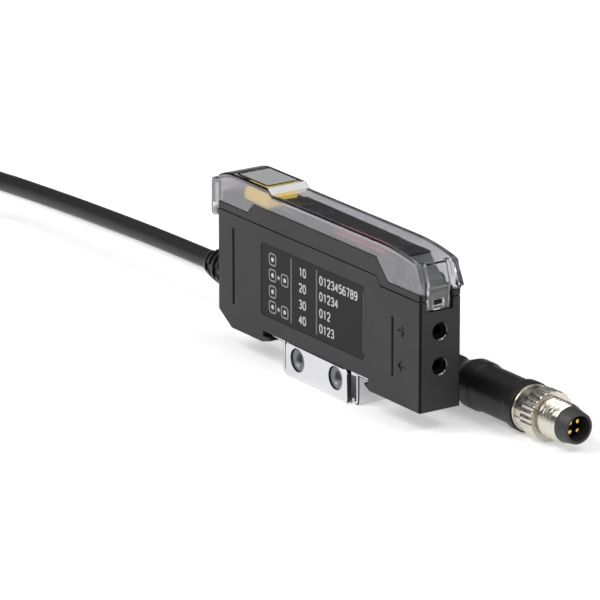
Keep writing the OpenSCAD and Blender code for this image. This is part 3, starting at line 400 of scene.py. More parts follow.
finish = {
    "housing": mouldedHousing(), "shade": paintedShade(), "bore": glossyBorePaintedShade(), "foil": legendFoil(),
    "white": padPrint("padPrintWhite", "#c2c0bf"), "grey": padPrint("padPrintGrey", "#7f7e80"),
    "dim": padPrint("padPrintDarkGrey", "#5b5a5c"), "black": darkOutlineShade(),
    "clear": clearPolycarbonate(), "clearPaintedShade": paintedDarkCoverEdge(), "satin": satinPolycarbonate(),
    "frost": frostedField("frostedPolycarbonate", "#eceeef", 0.6),
    # the slope's copy is whiter and less clear than the field's: a painted highlight on the slope
    "slope": frostedField("frostedPolycarbonateLitSlope", "#fbfcfd", 0.4),
    "lamp": yellowLightGuide(), "window": redAcrylic(), "redPaintedGlow": redPaintedGlow(),
    "lever": mouldedAcetal("greyAcetal", "#626468", 0.42, 0.5),
    "button": mouldedAcetal("blackAcetal", "#2c2c2e", 0.38, 0.6),
    "sheath": cableSheath(), "nickel": nickelPlate(), "zinc": zincSheet(), "sheared": shearedSteel(),
    "steel": plainSteel(), "bush": phosphatedSteel(), "gold": goldContact(), "copper": strandedCopper(),
    "board": solderMask(), "epoxy": darkEpoxy(), "resin": diodeResin(),
}

# the fibre guide takes the painted shade of the fibre holes
cadFinish = {
    "case": "housing", "bezel": "housing", "cover": "clear", "hinge_pin": "steel", "status_lamp": "lamp",
    "display_window": "window", "set_button": "button", "mode_button": "button", "set_switch": "epoxy",
    "mode_switch": "epoxy", "status_led": "resin", "display_board": "board", "main_digits": "resin",
    "small_digits": "resin", "board_link": "epoxy", "main_board": "board", "board_chips": "epoxy",
    "receiver_shield": "steel", "fibre_guide": "shade", "clamp_bar": "steel", "clamp_lever": "lever",
    "clamp_pin": "steel", "emitter_led": "resin", "receiver_diode": "resin", "cable_gland": "sheath",
    "cable": "sheath", "connector_body": "sheath", "retaining_ring": "nickel", "coupling_ring": "nickel",
    "contact_carrier": "epoxy", "contact_pins": "gold", "din_bracket": "zinc", "clinch_nuts": "bush",
    "core_wires": "copper",
}
for nodeName, node in nodes.items():
    node.data.materials.clear()
    node.data.materials.append(finish[cadFinish[nodeName]])
    node.data.shade_smooth()
print("materials made")


# Cable: the part's own route in millimetres, and a round sheath along it
cableRoute = {
    "points": [
        [-46, 0, 14.6], [-49, 0, 14.6], [-60, 0, 14.4], [-72, 0, 14.1], [-86, 0, 13.6],
        [-100, 0, 13], [-115, 0, 12.2], [-128, 0, 11.4], [-138, -1, 10.7], [-144, -4.5, 10.1],
        [-149, -10, 9.3], [-155, -16.5, 8.2], [-164, -19, 7], [-172, -16.5, 5.9],
        [-178.5, -10.5, 4.8], [-180.5, -2, 3.8], [-178.5, 6.5, 2.9], [-172, 13, 2.3],
        [-166, 15, 2.05], [-155.5, 16.5, 2], [-144.5, 18, 2], [-131.5, 19.3, 2],
        [-118.5, 20.4, 2], [-105.5, 21.4, 2], [-94, 21.9, 2], [-82, 22.2, 2], [-68, 22.2, 2],
        [-54, 21.7, 2], [-38, 20.5, 2], [-24, 18.6, 2], [-12, 16.8, 2], [-3, 15.5, 2.05],
        [3, 15.1, 2.5], [8, 15, 3.5], [13, 15, 4.7], [17, 15, 5.25], [19, 15, 5.25]],
    "radius": 2.0, "stepsPerStretch": 6, "sides": 24, "length": 0.361,
}


def smoothLine(points, steps):
    # Catmull-Rom curve: each stretch is a cubic whose end slopes are half the way between its neighbours
    p = np.array(points, float)
    p = np.vstack([p[:1], p, p[-1:]])
    t = np.linspace(0, 1, steps, endpoint=False)[None, :, None]
    a, b, c, d = [p[k:len(p) - 3 + k, None, :] for k in range(4)]
    square, cube = 2 * a - 5 * b + 4 * c - d, 3 * b - a - 3 * c + d
    line = 0.5 * (2 * b + (c - a) * t + square * t ** 2 + cube * t ** 3)
    return np.vstack([line.reshape(-1, 3), p[-1:]])


def tubePoints(line, radius, sides):
    # rings of a circle square to the line; each ring's side direction is level
    way = np.gradient(line, axis=0)
    way /= np.linalg.norm(way, axis=1, keepdims=True)
    side = np.cross([0, 0, 1], way)
    side /= np.linalg.norm(side, axis=1, keepdims=True)
    up = np.cross(way, side)
    angle = roundAngles(sides)[None, :, None]
    ring = np.cos(angle) * side[:, None, :] + np.sin(angle) * up[:, None, :]
    return line[:, None, :] + radius * ring


sides = cableRoute["sides"]
cableLine = smoothLine(cableRoute["points"], cableRoute["stepsPerStretch"]) * mm
rings = tubePoints(cableLine, cableRoute["radius"] * mm, sides)
cableFaces = gridFaces(len(rings), sides, closeColumns=True)
cableFaces += [list(range(sides))[::-1], list(range((len(rings) - 1) * sides, len(rings) * sides))]
cable = meshPiece("cable_sheath", rings.reshape(-1, 3), cableFaces, finish["sheath"], bodyOf("cable"),
                  sharp=60)
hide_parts("cable")
print("cable length", round(float(np.linalg.norm(np.diff(cableLine, axis=0), axis=1).sum()), 4))


# Moulded and folded parts: copies of the solids with small rounded edges
def mergedMesh(nodeName, cuts=()):
    # a copy of the solid's triangles with its doubles merged, cut by upright planes at places along X
    mesh = nodes[nodeName].data.copy()
    work = bmesh.new()
    work.from_mesh(mesh)
    bmesh.ops.remove_doubles(work, verts=work.verts, dist=2e-6)
    for x in cuts:
        geometry = work.verts[:] + work.edges[:] + work.faces[:]
        bmesh.ops.bisect_plane(work, geom=geometry, plane_co=(x * mm, 0, 0), plane_no=(1, 0, 0))
    work.to_mesh(mesh)
    work.free()
    return mesh


def roundedCopy(nodeName, pieceName, width, smallest=0.0, sharp=35, paints=(), mesh=None):
    # sharp edges between faces larger than the smallest area are rounded; tiny steps stay crisp;
    # each paint is a material and a test of a face's middle in millimetres and its normal
    mesh = mesh or mergedMesh(nodeName)
    work = bmesh.new()
    work.from_mesh(mesh)
    bmesh.ops.dissolve_limit(work, angle_limit=math.radians(0.4), verts=work.verts, edges=work.edges)
    chosen = [edge for edge in work.edges if len(edge.link_faces) == 2
              and abs(edge.calc_face_angle_signed(0)) > math.radians(sharp)
              and min(face.calc_area() for face in edge.link_faces) > smallest * mm * mm]
    bmesh.ops.bevel(work, geom=chosen, offset=width * mm, segments=2, profile=0.5, affect="EDGES",
                    clamp_overlap=False)
    for place, (material, isMeant) in enumerate(paints):
        mesh.materials.append(material)
        for face in work.faces:
            if isMeant(face.calc_center_median() / mm, face.normal):
                face.material_index = place + 1
    work.to_mesh(mesh)
    work.free()
    mesh.shade_smooth()
    mesh.set_sharp_from_angle(angle=math.radians(sharp))
    piece = bpy.data.objects.new(pieceName, mesh)
    bpy.context.scene.collection.objects.link(piece)
    weighted = piece.modifiers.new("weighted", "WEIGHTED_NORMAL")
    weighted.keep_sharp = True
    weighted.weight = 90
    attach(piece, bodyOf(nodeName))
    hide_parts(nodeName)
    return piece


# Where the paints lie, in millimetres on the floor; normals are compared as shares of one
caseLow, caseHigh = np.array(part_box("case"))
frontX = caseHigh[0] / mm
sideY = caseHigh[1] / mm
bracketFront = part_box("din_bracket")[0][1] / mm
housingPaint = {"cornerReach": 0.6, "holeHeights": [13.8, 21.0], "holeReach": 1.8, "holeDepth": 4.0,
                "leadIn": 0.8}
coverPaint = {"edgeReach": 0.5, "satinEnd": 0.3, "arcEnd": -29.6, "arcLow": 34.5, "slope": [-18.6, -16.3],
              "slopeLow": 36.5}
stubPaint = {"flangeReach": 1.2, "middle": 1.0}


def onFrontCorner(at, normal):
    # the upright rounded corners of the housing's front, painted as a dark line of shade
    upright = abs(normal.z) < 0.1 and normal.x > 0.2 and abs(normal.y) > 0.2
    reach = housingPaint["cornerReach"]
    return upright and at.x > frontX - reach and abs(at.y) > sideY - reach


def inFibreHole(at, normal):
    # bores and steps round the two fibre axes, painted black as their shade
    near = min(math.hypot(at.y, at.z - z) for z in housingPaint["holeHeights"])
    inside = normal.x < 0.9 or at.x < frontX - 0.1
    return inside and at.x > frontX - housingPaint["holeDepth"] and near < housingPaint["holeReach"]


def onLeadIn(at, normal):
    # the lead-in cones in the front face, black as painted shade
    return inFibreHole(at, normal) and at.x > frontX - housingPaint["leadIn"] and 0.3 < normal.x < 0.95


def onLongEdge(at, normal):
    # the rounded edges between the cover's top and its sides, tinted dark as painted shade
    return abs(at.y) > sideY - coverPaint["edgeReach"] and normal.z > 0.2 and abs(normal.y) > 0.2


def onSatinWall(at, normal):
    # the cover's sides, and all of the hinge tab behind the case
    return (abs(normal.y) > 0.95 and at.x < frontX - coverPaint["satinEnd"]) or at.x < -frontX - 0.1


def onRearArc(at, normal):
    # the outside of the hump's rear arc, black as far as the field: painted shade for its dark refracting
    # edge
    onTop = normal.z > 0.3 and abs(normal.y) < 0.3
    return onTop and at.x < coverPaint["arcEnd"] and at.z > coverPaint["arcLow"]


def onHumpSlope(at, normal):
    # the hump's short front slope, spark-eroded like the field, in a whiter copy of the frost that paints a
    # highlight on it
    slopes = normal.x > 0.2 and normal.z > 0.2 and abs(normal.y) < 0.2
    return slopes and coverPaint["slope"][0] < at.x < coverPaint["slope"][1] and at.z > coverPaint["slopeLow"]


def onCutSide(at, normal):
    # the filter window's long sides, given the painted red glow
    return abs(normal.y) > 0.5


def onShearedEdge(at, normal):
    # the outline of the rail stub's flange, square to its face, darkened partly as a painted outline of shade
    onFlange = at.y < bracketFront + stubPaint["flangeReach"] and abs(at.y) > stubPaint["middle"]
    return onFlange and abs(normal.y) < 0.96


# Cover: the hump ends sooner than its solid's, and the nose is fuller: the top falls in a slow arc to a
# corner, then the front wall leans out; heights from the floor and places along X in millimetres
coverShape = {
    "top": 36.7, "rim": 29.2, "wall": 0.9, "lean": 0.95, "solidNoseStart": 28.0, "solidNoseEnd": 36.3,
    "solidDrop": 5.6, "solidPower": 3.6, "arcStart": 22.0, "corner": 34.98, "arcDrop": 1.6,
    "cuts": [22.0, 24.0, 26.0],
    "humpSolid": [-18.5, -16.8, -14.6], "humpMade": [-18.5, -18.0, -16.5], "humpDepth": 1.2, "humpReach": 1.0,
}


def solidTopLine(x, size):
    # level, then a fall that grows with a power of the share of the nose's length
    way = np.clip((x - size["solidNoseStart"]) / (size["solidNoseEnd"] - size["solidNoseStart"]), 0, 1)
    return size["top"] - size["solidDrop"] * way ** size["solidPower"]


def madeTopLine(x, size):
    # level, then an arc whose drop grows with the square of the way to the corner, then a straight lean
    arc = np.clip((x - size["arcStart"]) / (size["corner"] - size["arcStart"]), 0, 1)
    lean = np.clip((x - size["corner"]) / (size["solidNoseEnd"] - size["corner"]), 0, None)
    return size["top"] - size["arcDrop"] * arc ** 2 - (size["solidDrop"] - size["arcDrop"]) * lean


def coverReshaped(points, size):
    # three heights at each place, the rim, the roof's underside and its top, go from the solid's lines to
    # the made ones, and what lies between them moves in proportion
    x, z = points[:, 0], points[:, 2]
    rim, wall = size["rim"], size["wall"]
    topFrom, topTo = solidTopLine(x, size), madeTopLine(np.minimum(x, size["solidNoseEnd"]), size)
    underFrom = solidTopLine(x + wall / 2, size) - wall
    underTo = np.minimum(topTo - wall, madeTopLine(x + size["lean"], size))
    inFront = x > size["solidNoseEnd"] - wall + 0.02
    underFrom = np.where(inFront, rim, underFrom)
    underTo = np.where(inFront, rim, underTo)
    lower = rim + (z - rim) * (underTo - rim) / np.maximum(underFrom - rim, 0.01)
    upper = underTo + (z - underFrom) * (topTo - underTo) / (topFrom - underFrom)
    made = points.copy()
    made[:, 2] = np.where((z < rim) | (x < size["arcStart"]), z, np.where(z < underFrom, lower, upper))
    solidHump, madeHump = size["humpSolid"], size["humpMade"]
    humpEnd = solidHump[2] + size["humpReach"]
    onHump = (z > size["top"] - size["humpDepth"]) & (x > solidHump[0]) & (x < humpEnd)
    moved = x + np.interp(x, solidHump, np.subtract(madeHump, solidHump))
    made[:, 0] = np.where(onHump, moved, x)
    return made


coverMesh = mergedMesh("cover", coverShape["cuts"])
points = np.empty(len(coverMesh.vertices) * 3)
coverMesh.vertices.foreach_get("co", points)
points = coverReshaped(points.reshape(-1, 3) / mm, coverShape) * mm
coverMesh.vertices.foreach_set("co", points.ravel())

# painted shade: a dark line down the front corners, black inside the fibre holes, and black lead-in cones
# that keep a real gloss
shadePaints = [(finish["shade"], onFrontCorner), (finish["shade"], inFibreHole), (finish["bore"], onLeadIn)]
roundedCopy("case", "case_moulding", 0.13, smallest=1.5, paints=shadePaints)
roundedCopy("bezel", "bezel_moulding", 0.1, smallest=1.5, paints=shadePaints[:1])
roundedCopy("din_bracket", "rail_stub", 0.24, smallest=1.2,
            paints=[(finish["sheared"], onShearedEdge)])
roundedCopy("status_lamp", "lamp_block", 0.2, smallest=1.0)
roundedCopy("clamp_lever", "fibre_lever", 0.12, smallest=1.0)
roundedCopy("cover", "cover_shell", 0.1, smallest=0.8, mesh=coverMesh,
            paints=[(finish["clearPaintedShade"], onLongEdge), (finish["satin"], onSatinWall),
                    (finish["black"], onRearArc), (finish["slope"], onHumpSlope)])
roundedCopy("display_window", "filter_window", 0.08, smallest=0.5,
            paints=[(finish["redPaintedGlow"], onCutSide)])
roundedCopy("set_button", "set_cap", 0.12, smallest=0.2)
roundedCopy("mode_button", "mode_cap", 0.12, smallest=0.2)
connectorParts = [
    roundedCopy("connector_body", "connector_grip", 0.15, smallest=0.05, sharp=30),
    roundedCopy("retaining_ring", "thin_ring", 0.1, smallest=0.02, sharp=30),
    roundedCopy("contact_carrier", "contact_insert", 0.12, smallest=0.02, sharp=30),
    roundedCopy("contact_pins", "contacts", 0.12, smallest=0.01, sharp=30),
]
print("rounded copies made")


# Turned pieces: coupling ring, strain relief and threaded bushes

def turnedPiece(name, along, radius, start, axis, material, body, sharp=35):
    # a grid of rows along the axis and columns round it: radius gives each point's distance from the axis;
    # the first and last rows are joined, so the wall is closed
    axis = np.array(axis, float)
    side = np.cross([0, 0, 1], axis)
    up = np.cross(axis, side)
    count = radius.shape[1]
    angle = roundAngles(count)[None, :, None]
    ring = np.cos(angle) * side + np.sin(angle) * up
    points = np.array(start) + (along[:, None, None] * axis + radius[:, :, None] * ring) * mm
    faces = gridFaces(len(along), count, closeRows=True, closeColumns=True)
    return meshPiece(name, points.reshape(-1, 3), faces, material, body, sharp)


couplingRing = {
    "nutRadius": 4.75, "nutLength": 2.5, "slots": 2, "slotWidth": 1.4, "slotDepth": 0.3,
    "knurlRadius": 5.25, "knurlLength": 3.75, "ribs": 24, "ribDepth": 0.3,
    "threadRadius": 4.0, "threadLength": 5.5, "pitch": 1.0, "threadDepth": 0.55,
    "boreRadius": 3.15, "edge": 0.15, "fadeIn": 0.5, "rowStep": 0.085, "columns": 240,
}


def couplingRingSurface(size):
    # the radius steps from the slotted nut to the knurl and the thread; ribs are a raised cosine of the
    # angle, slots are cut by their width, and the thread is a triangle wave of place less a turn's share
    angle = roundAngles(size["columns"])[None, :]
    s1 = size["nutLength"]
    s2 = s1 + size["knurlLength"]
    s3 = s2 + size["threadLength"]
    edge = size["edge"]
    nutRows = np.array([0.0, 0.0, edge, s1 - 0.02])
    nutBase = np.array([size["boreRadius"], size["nutRadius"] - edge, size["nutRadius"], size["nutRadius"]])
    knurlRows = np.array([s1, s1 + edge, s1 + 2 * edge, s2 - 2 * edge, s2 - edge, s2])
    knurlBase = size["knurlRadius"] - np.array([edge, 0.03, 0, 0, 0.03, edge])
    threadRows = np.arange(s2 + 0.01, s3 - 0.5, size["rowStep"])
    endRows = np.array([s3 - 0.45, s3, s3])
    endBase = np.array([size["threadRadius"] - 0.1, size["threadRadius"] - 0.5, size["boreRadius"]])
    span = np.abs((angle * size["slots"] / (2 * math.pi) + 0.5) % 1 - 0.5) * 2 * math.pi / size["slots"]
    slot = np.clip((size["slotWidth"] / 2 - span * size["nutRadius"]) / 0.05 + 0.5, 0, 1) * size["slotDepth"]
    nut = np.minimum(nutBase[:, None], size["nutRadius"] - slot)
    ribs = (0.5 + 0.5 * np.cos(angle * size["ribs"])) ** 0.6 * size["ribDepth"]
    knurl = np.minimum(knurlBase[:, None], size["knurlRadius"] - size["ribDepth"] + ribs)
    turn = (threadRows[:, None] / size["pitch"] - angle / (2 * math.pi)) % 1
    lift = np.clip(1.25 - 2.5 * np.abs(turn - 0.5), 0, 1)
    thread = size["threadRadius"] - size["threadDepth"] * (1 - lift)
    fade = np.clip((threadRows - threadRows[0]) / size["fadeIn"], 0, 1)[:, None]
    thread = thread * fade + (size["threadRadius"] - size["threadDepth"]) * (1 - fade)
    along = np.concatenate([nutRows, knurlRows, threadRows, endRows])
    radius = np.vstack([nut, knurl, thread, np.repeat(endBase[:, None], size["columns"], 1)])
    return along, radius


bodyLow, bodyHigh = np.array(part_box("connector_body"))
connectorAxis = (bodyLow + bodyHigh) / 2
ringStart = (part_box("coupling_ring")[0][0], connectorAxis[1], connectorAxis[2])
along, radius = couplingRingSurface(couplingRing)
knurledRing = turnedPiece("knurled_ring", along, radius, ringStart, (1, 0, 0), finish["nickel"],
                          bodyOf("coupling_ring"), sharp=30)
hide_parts("coupling_ring")

# Strain relief behind the case: a tapered core with ribs, each rib broken by windows that alternate
strainRelief = {
    "radiusAtCase": 3.95, "radiusAtCable": 2.3, "bulge": 2.4, "length": 10.0, "ribs": 5, "ribShare": 0.55,
    "groove": 0.5, "windows": 2, "windowAngle": 0.5, "columns": 96, "pole": 0.02,
    "flangeRadius": 3.5, "flangeThickness": 1.0, "wall": 1.2, "neckRadius": 2.7,
}


def strainReliefSurface(size):
    # radius falls by a power of the length run; between ribs and in the windows it is less by the groove
    angle = roundAngles(size["columns"])
    length, groove, flange, neck = size["length"], size["groove"], size["flangeRadius"], size["neckRadius"]
    fall = size["radiusAtCase"] - size["radiusAtCable"]
    even = np.ones(size["columns"])
    along = [-size["wall"] - size["flangeThickness"]] * 2 + [-size["wall"]] * 2 + [0.0]
    radius = [even * r for r in (size["pole"], flange, flange, neck, neck)]
    for k in range(size["ribs"]):
        s0 = length * k / size["ribs"]
        s2 = length * (k + 1) / size["ribs"]
        s1 = s0 + (s2 - s0) * size["ribShare"]
        turn = np.abs(((angle + k * math.pi / 2) * size["windows"] / (2 * math.pi)) % 1 - 0.5)
        window = turn * 2 * math.pi / size["windows"] < size["windowAngle"] / 2 * (k > 0)
        for s, full in ((s0, 0), (s0 + 0.01, 1), (s1 - 0.01, 1), (s1, 0)):
            low = size["radiusAtCase"] - fall * (s / length) ** size["bulge"] - groove
            along.append(s)
            radius.append(np.where(window, low, low + full * groove))
    along += [length, length]
    radius += [even * (size["radiusAtCable"] - groove * 0.3), even * size["pole"]]
    return np.array(along), np.array(radius)


glandLow, glandHigh = np.array(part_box("cable_gland"))
along, radius = strainReliefSurface(strainRelief)
glandAxis = (glandLow + glandHigh) / 2
glandStart = (glandLow[0] + strainRelief["length"] * mm, glandAxis[1], glandAxis[2])
relief = turnedPiece("strain_relief", along, radius, glandStart, (-1, 0, 0), finish["sheath"],
                     bodyOf("cable_gland"), sharp=30)
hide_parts("cable_gland")

# Threaded bushes of the rail stub: a flat collar with a chamfered, threaded bore
threadedBush = {"outer": 2.48, "bore": 1.25, "length": 1.6, "pitch": 0.45, "threadDepth": 0.24,
                "chamfer": 0.3, "edge": 0.12, "rows": 40, "columns": 72}


def threadedBushSurface(size):
    # outside the radius is even with small chamfers; inside, a triangle wave of place less a turn's share
    angle = roundAngles(size["columns"])[None, :]
    edge, end, outer = size["edge"], size["length"], size["outer"]
    bore = size["bore"] + size["threadDepth"]
    outRows = np.array([0, 0, edge, end - edge, end])
    outRadius = np.array([bore + size["chamfer"] * 0.6, outer - edge, outer, outer, outer - edge])
    inRows = np.linspace(end - 0.02, size["chamfer"], size["rows"])
    turn = (inRows[:, None] / size["pitch"] - angle / (2 * math.pi)) % 1
    thread = bore - size["threadDepth"] * np.clip(1.3 - 2.6 * np.abs(turn - 0.5), 0, 1)
    rows = np.concatenate([outRows, [end], inRows])
    flat = np.repeat(np.append(outRadius, bore)[:, None], size["columns"], 1)
    return rows, np.vstack([flat, thread])


bushLow, bushHigh = np.array(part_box("clinch_nuts"))
bushZ = (bushLow[2] + bushHigh[2]) / 2
bushOuter = threadedBush["outer"] * mm
along, radius = threadedBushSurface(threadedBush)
for name, x in (("left", bushLow[0] + bushOuter), ("right", bushHigh[0] - bushOuter)):
    bush = turnedPiece("threaded_bush_" + name, along, radius, (x, bushLow[1], bushZ), (0, 1, 0),
                       finish["bush"], bodyOf("clinch_nuts"), sharp=30)
    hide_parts("clinch_nuts")
print("turned pieces made")


# Legend on the near side: button icons, column lines and plain numbers, millimetres from the case's foot
legend = {
    "rows": [18.5, 15.15, 11.65, 8.4], "iconX": [-15.85, -11.45], "iconSize": 2.7, "iconStroke": 0.34,
    "iconCorner": 0.6, "dotSize": 0.95, "dotCorner": 0.42, "pairedRows": [1, 3], "plusSize": 0.9,
    "plusStroke": 0.28, "lineX": [-9.1, 0.0], "lineSpan": [6.8, 20.4], "lineWidth": 0.5,
    "secondX": -6.2, "thirdX": 1.1, "digitHeight": 1.7, "digitWidth": 0.92,
    "digitStep": 1.36, "digitStroke": 0.31, "second": ["10", "20", "30", "40"],
    "third": ["0123456789", "01234", "012", "0123"], "recess": 0.16, "ink": 0.03,
    "foil": 0.1, "foilX": [-19.9, 16.7], "foilZ": [6.0, 21.2], "foilCorner": 1.3,
    "highlightInset": 0.25, "highlightSpan": [7.2, 20.0], "highlightWidth": 0.18,
}

# Strokes of the ten digits in a box one wide and one high
digitStrokes = {
    "0": [[(.5, 1), (.17, .94), (0, .72), (0, .28), (.17, .06), (.5, 0), (.83, .06), (1, .28), (1, .72),
           (.83, .94), (.5, 1)]],
    "1": [[(.2, .8), (.6, 1), (.6, 0)]],
    "2": [[(0, .78), (.12, .95), (.5, 1), (.88, .95), (1, .74), (.9, .55), (0, 0), (1, 0)]],
    "3": [[(0, .9), (.45, 1), (.92, .93), (.92, .6), (.4, .54)],
          [(.4, .54), (.98, .5), (.98, .06), (.45, 0), (0, .1)]],
    "4": [[(.74, 0), (.74, 1), (0, .3)], [(-.06, .3), (1.05, .3)]],
    "5": [[(.95, 1), (.1, 1), (.05, .55), (.55, .64), (.98, .52), (.98, .08), (.5, 0), (0, .1)]],
    "6": [[(.9, .92), (.5, 1), (.1, .88), (0, .5), (0, .3)],
          [(.5, .6), (.9, .52), (1, .3), (.9, .06), (.5, 0), (.1, .06), (0, .3), (.1, .52), (.5, .6)]],
    "7": [[(0, 1), (1, 1), (.4, 0)]],
    "8": [[(.5, 1), (.1, .96), (.06, .6), (.5, .54), (.94, .6), (.9, .96), (.5, 1)],
          [(.5, .54), (.02, .48), (.02, .05), (.5, 0), (.98, .05), (.98, .48), (.5, .54)]],
    "9": [[(.1, .08), (.5, 0), (.9, .12), (1, .5), (1, .7)],
          [(.5, .4), (.1, .48), (0, .7), (.1, .94), (.5, 1), (.9, .94), (1, .7), (.9, .48), (.5, .4)]],
}


def roundedPath(path, limit=0.14, rounds=2):
    # each corner is cut twice, at a quarter of the stretch to its neighbour but no further than the limit
    path = np.asarray(path, float)
    closed = np.allclose(path[0], path[-1])
    for _ in range(rounds):
        stretch = np.diff(path, axis=0)
        reach = np.minimum(0.25, limit / np.linalg.norm(stretch, axis=1))[:, None]
        cut = np.stack([path[:-1] + stretch * reach, path[1:] - stretch * reach], 1).reshape(-1, 2)
        path = np.vstack([cut, cut[:1]]) if closed else np.vstack([path[:1], cut[1:-1], path[-1:]])
        limit = limit / 2
    return path


def roundedPlate(cx, cz, width, height, corner, steps=5):
    # quarter circles of the corner radius about four centres, closed on its first point
    angle = np.linspace(0, math.pi / 2, steps)[None, :] + np.arange(4)[:, None] * math.pi / 2
    quarter = np.array([[1, 1], [-1, 1], [-1, -1], [1, -1]]) * (width / 2 - corner, height / 2 - corner)
    x = cx + quarter[:, :1] + corner * np.cos(angle)
    z = cz + quarter[:, 1:] + corner * np.sin(angle)
    ring = np.stack([x.ravel(), z.ravel()], 1)
    return np.vstack([ring, ring[:1]])


def spannedPlate(xSpan, zSpan, corner):
    # the same outline between two pairs of ends
    (x0, x1), (z0, z1) = xSpan, zSpan
    return roundedPlate((x0 + x1) / 2, (z0 + z1) / 2, x1 - x0, z1 - z0, corner)


def strokeRows(path, width):
    # at each point the line is set off by half its width along the mitre of the two neighbouring normals
    path = np.asarray(path, float)
    step = np.diff(path, axis=0)
    step /= np.linalg.norm(step, axis=1, keepdims=True)
    normal = np.stack([-step[:, 1], step[:, 0]], 1)
    closed = np.allclose(path[0], path[-1])
    before = np.vstack([normal[-1:] if closed else normal[:1], normal])
    after = np.vstack([normal, normal[:1] if closed else normal[-1:]])
    mitre = (before + after) / np.maximum(0.35, 1 + (before * after).sum(1))[:, None]
    return path + mitre * width / 2, path - mitre * width / 2


def uprightPoints(flat, depth):
    # drawn X and Z in millimetres from the case's foot, and a depth along Y, as points in space
    depth = np.broadcast_to(depth, flat.shape[:-1])
    return np.stack([flat[..., 0] * mm, depth, flat[..., 1] * mm + caseLow[2]], -1).reshape(-1, 3)


def inkPlates(strokes, fills, y0, y1):
    # strokes become ribbons and fills become plates, each a thin closed solid between two planes
    points, faces, base = [], [], 0
    for place, (path, width) in enumerate(strokes):
        count = len(path)
        left, right = strokeRows(path, width)
        front = y0 + (y1 - y0) * 0.08 * (place % 4)  # strokes that cross lie in planes of their own
        points.append(uprightPoints(np.stack([left, right, right, left], 1), [front, front, y1, y1]))
        faces += (base + np.array(gridFaces(count, 4, closeColumns=True))).tolist()
        faces += [[base, base + 1, base + 2, base + 3], [base + 4 * count - k for k in (1, 2, 3, 4)]]
        base += 4 * count
    for outline in fills:
        count = len(outline)
        points += [uprightPoints(outline, y) for y in (y0, y1)]
        k = np.arange(count)
        n = (k + 1) % count
        faces += np.stack([base + n, base + k, base + count + k, base + count + n], 1).tolist()
        faces += [(base + k).tolist(), (base + count + k[::-1]).tolist()]
        base += 2 * count
    return np.vstack(points), faces


def numberStrokes(text, x, z, size):
    # each digit's strokes, rounded, stretched to the digit's size and put in its place along the row
    strokes = []
    for place, digit in enumerate(text):
        for path in digitStrokes[digit]:
            path = roundedPath(path) * (size["digitWidth"], size["digitHeight"])
            path += (x + place * size["digitStep"], z - size["digitHeight"] / 2)
            strokes.append((path, size["digitStroke"]))
    return strokes


def printPiece(name, strokes, fills, planes, material):
    points, faces = inkPlates(strokes, fills, *planes)
    piece = meshPiece(name, points, faces, material, bodyOf("case"))


icons, numbers, dots = [], [], []
iconSide = legend["iconSize"] - legend["iconStroke"]
dotSide = legend["dotSize"]
for row, z in enumerate(legend["rows"]):
    places = legend["iconX"][:2 if row in legend["pairedRows"] else 1]
    for x in places:
        icons.append((roundedPlate(x, z, iconSide, iconSide, legend["iconCorner"]), legend["iconStroke"]))
        dots.append(roundedPlate(x, z, dotSide, dotSide, legend["dotCorner"])[:-1])
    if len(places) == 2:
        x, reach = sum(places) / 2, legend["plusSize"] / 2
        numbers.append(([(x - reach, z), (x + reach, z)], legend["plusStroke"]))
        numbers.append(([(x, z - reach), (x, z + reach)], legend["plusStroke"]))
    numbers += numberStrokes(legend["second"][row], legend["secondX"], z, legend)
    numbers += numberStrokes(legend["third"][row], legend["thirdX"], z, legend)
foilFace = caseLow[1] + (legend["recess"] - legend["foil"]) * mm
foilPlanes = [foilFace, caseLow[1] + (legend["recess"] + 0.01) * mm]
printPlanes = [foilFace - legend["ink"] * mm, foilFace + 0.01 * mm]
foil = spannedPlate(legend["foilX"], legend["foilZ"], legend["foilCorner"])[:-1]
lines = [([(x, z) for z in legend["lineSpan"]], legend["lineWidth"]) for x in legend["lineX"]]
# a thin grey line just inside the foil's right edge is a painted highlight of that edge
highlightX = legend["foilX"][1] - legend["highlightInset"]
lines.append(([(highlightX, z) for z in legend["highlightSpan"]], legend["highlightWidth"]))
printPiece("legend_foil", [], [foil], foilPlanes, finish["foil"])
printPiece("legend_print", numbers, dots, printPlanes, finish["white"])
printPiece("legend_icons", icons, [], printPlanes, finish["grey"])
printPiece("legend_lines", lines, [], printPlanes, finish["dim"])
print("legend made")

# Hump's top: a bare frosted field inside a black border of painted shade for its dark refracting edges, both
# a thin skin on the cover; and the red filter's rim on the panel, with a painted red glow
humpField = {"x": [-29.9, -19.2], "y": [-3.9, 3.9], "height": 37.85, "border": 0.55, "corner": 0.5,
             "skin": 0.03}
filterRim = {"x": [4.7, 22.3], "y": [-3.71, -2.81], "height": 34.2, "corner": 0.3, "skin": 0.04}


def levelPiece(name, strokes, fills, size, material, nodeName):
    # the ink plates drawn in X and Y, laid level: what stood along Y becomes the height
    points, faces = inkPlates(strokes, fills, 0, 1)
    heights = (size["height"] + points[:, 1] * size["skin"]) * mm
    laid = np.stack([points[:, 0], points[:, 2] - caseLow[2], heights], 1)
    piece = meshPiece(name, laid, [face[::-1] for face in faces], material, bodyOf(nodeName))


field = spannedPlate(humpField["x"], humpField["y"], humpField["corner"])
rim = spannedPlate(filterRim["x"], filterRim["y"], filterRim["corner"])
levelPiece("hump_field", [], [field[:-1]], humpField, finish["frost"], "cover")
levelPiece("hump_dark_outline", [(field, humpField["border"])], [], humpField, finish["black"], "cover")
levelPiece("filter_rim_painted_glow", [], [rim[:-1]], filterRim, finish["redPaintedGlow"], "bezel")
print("level pieces made")


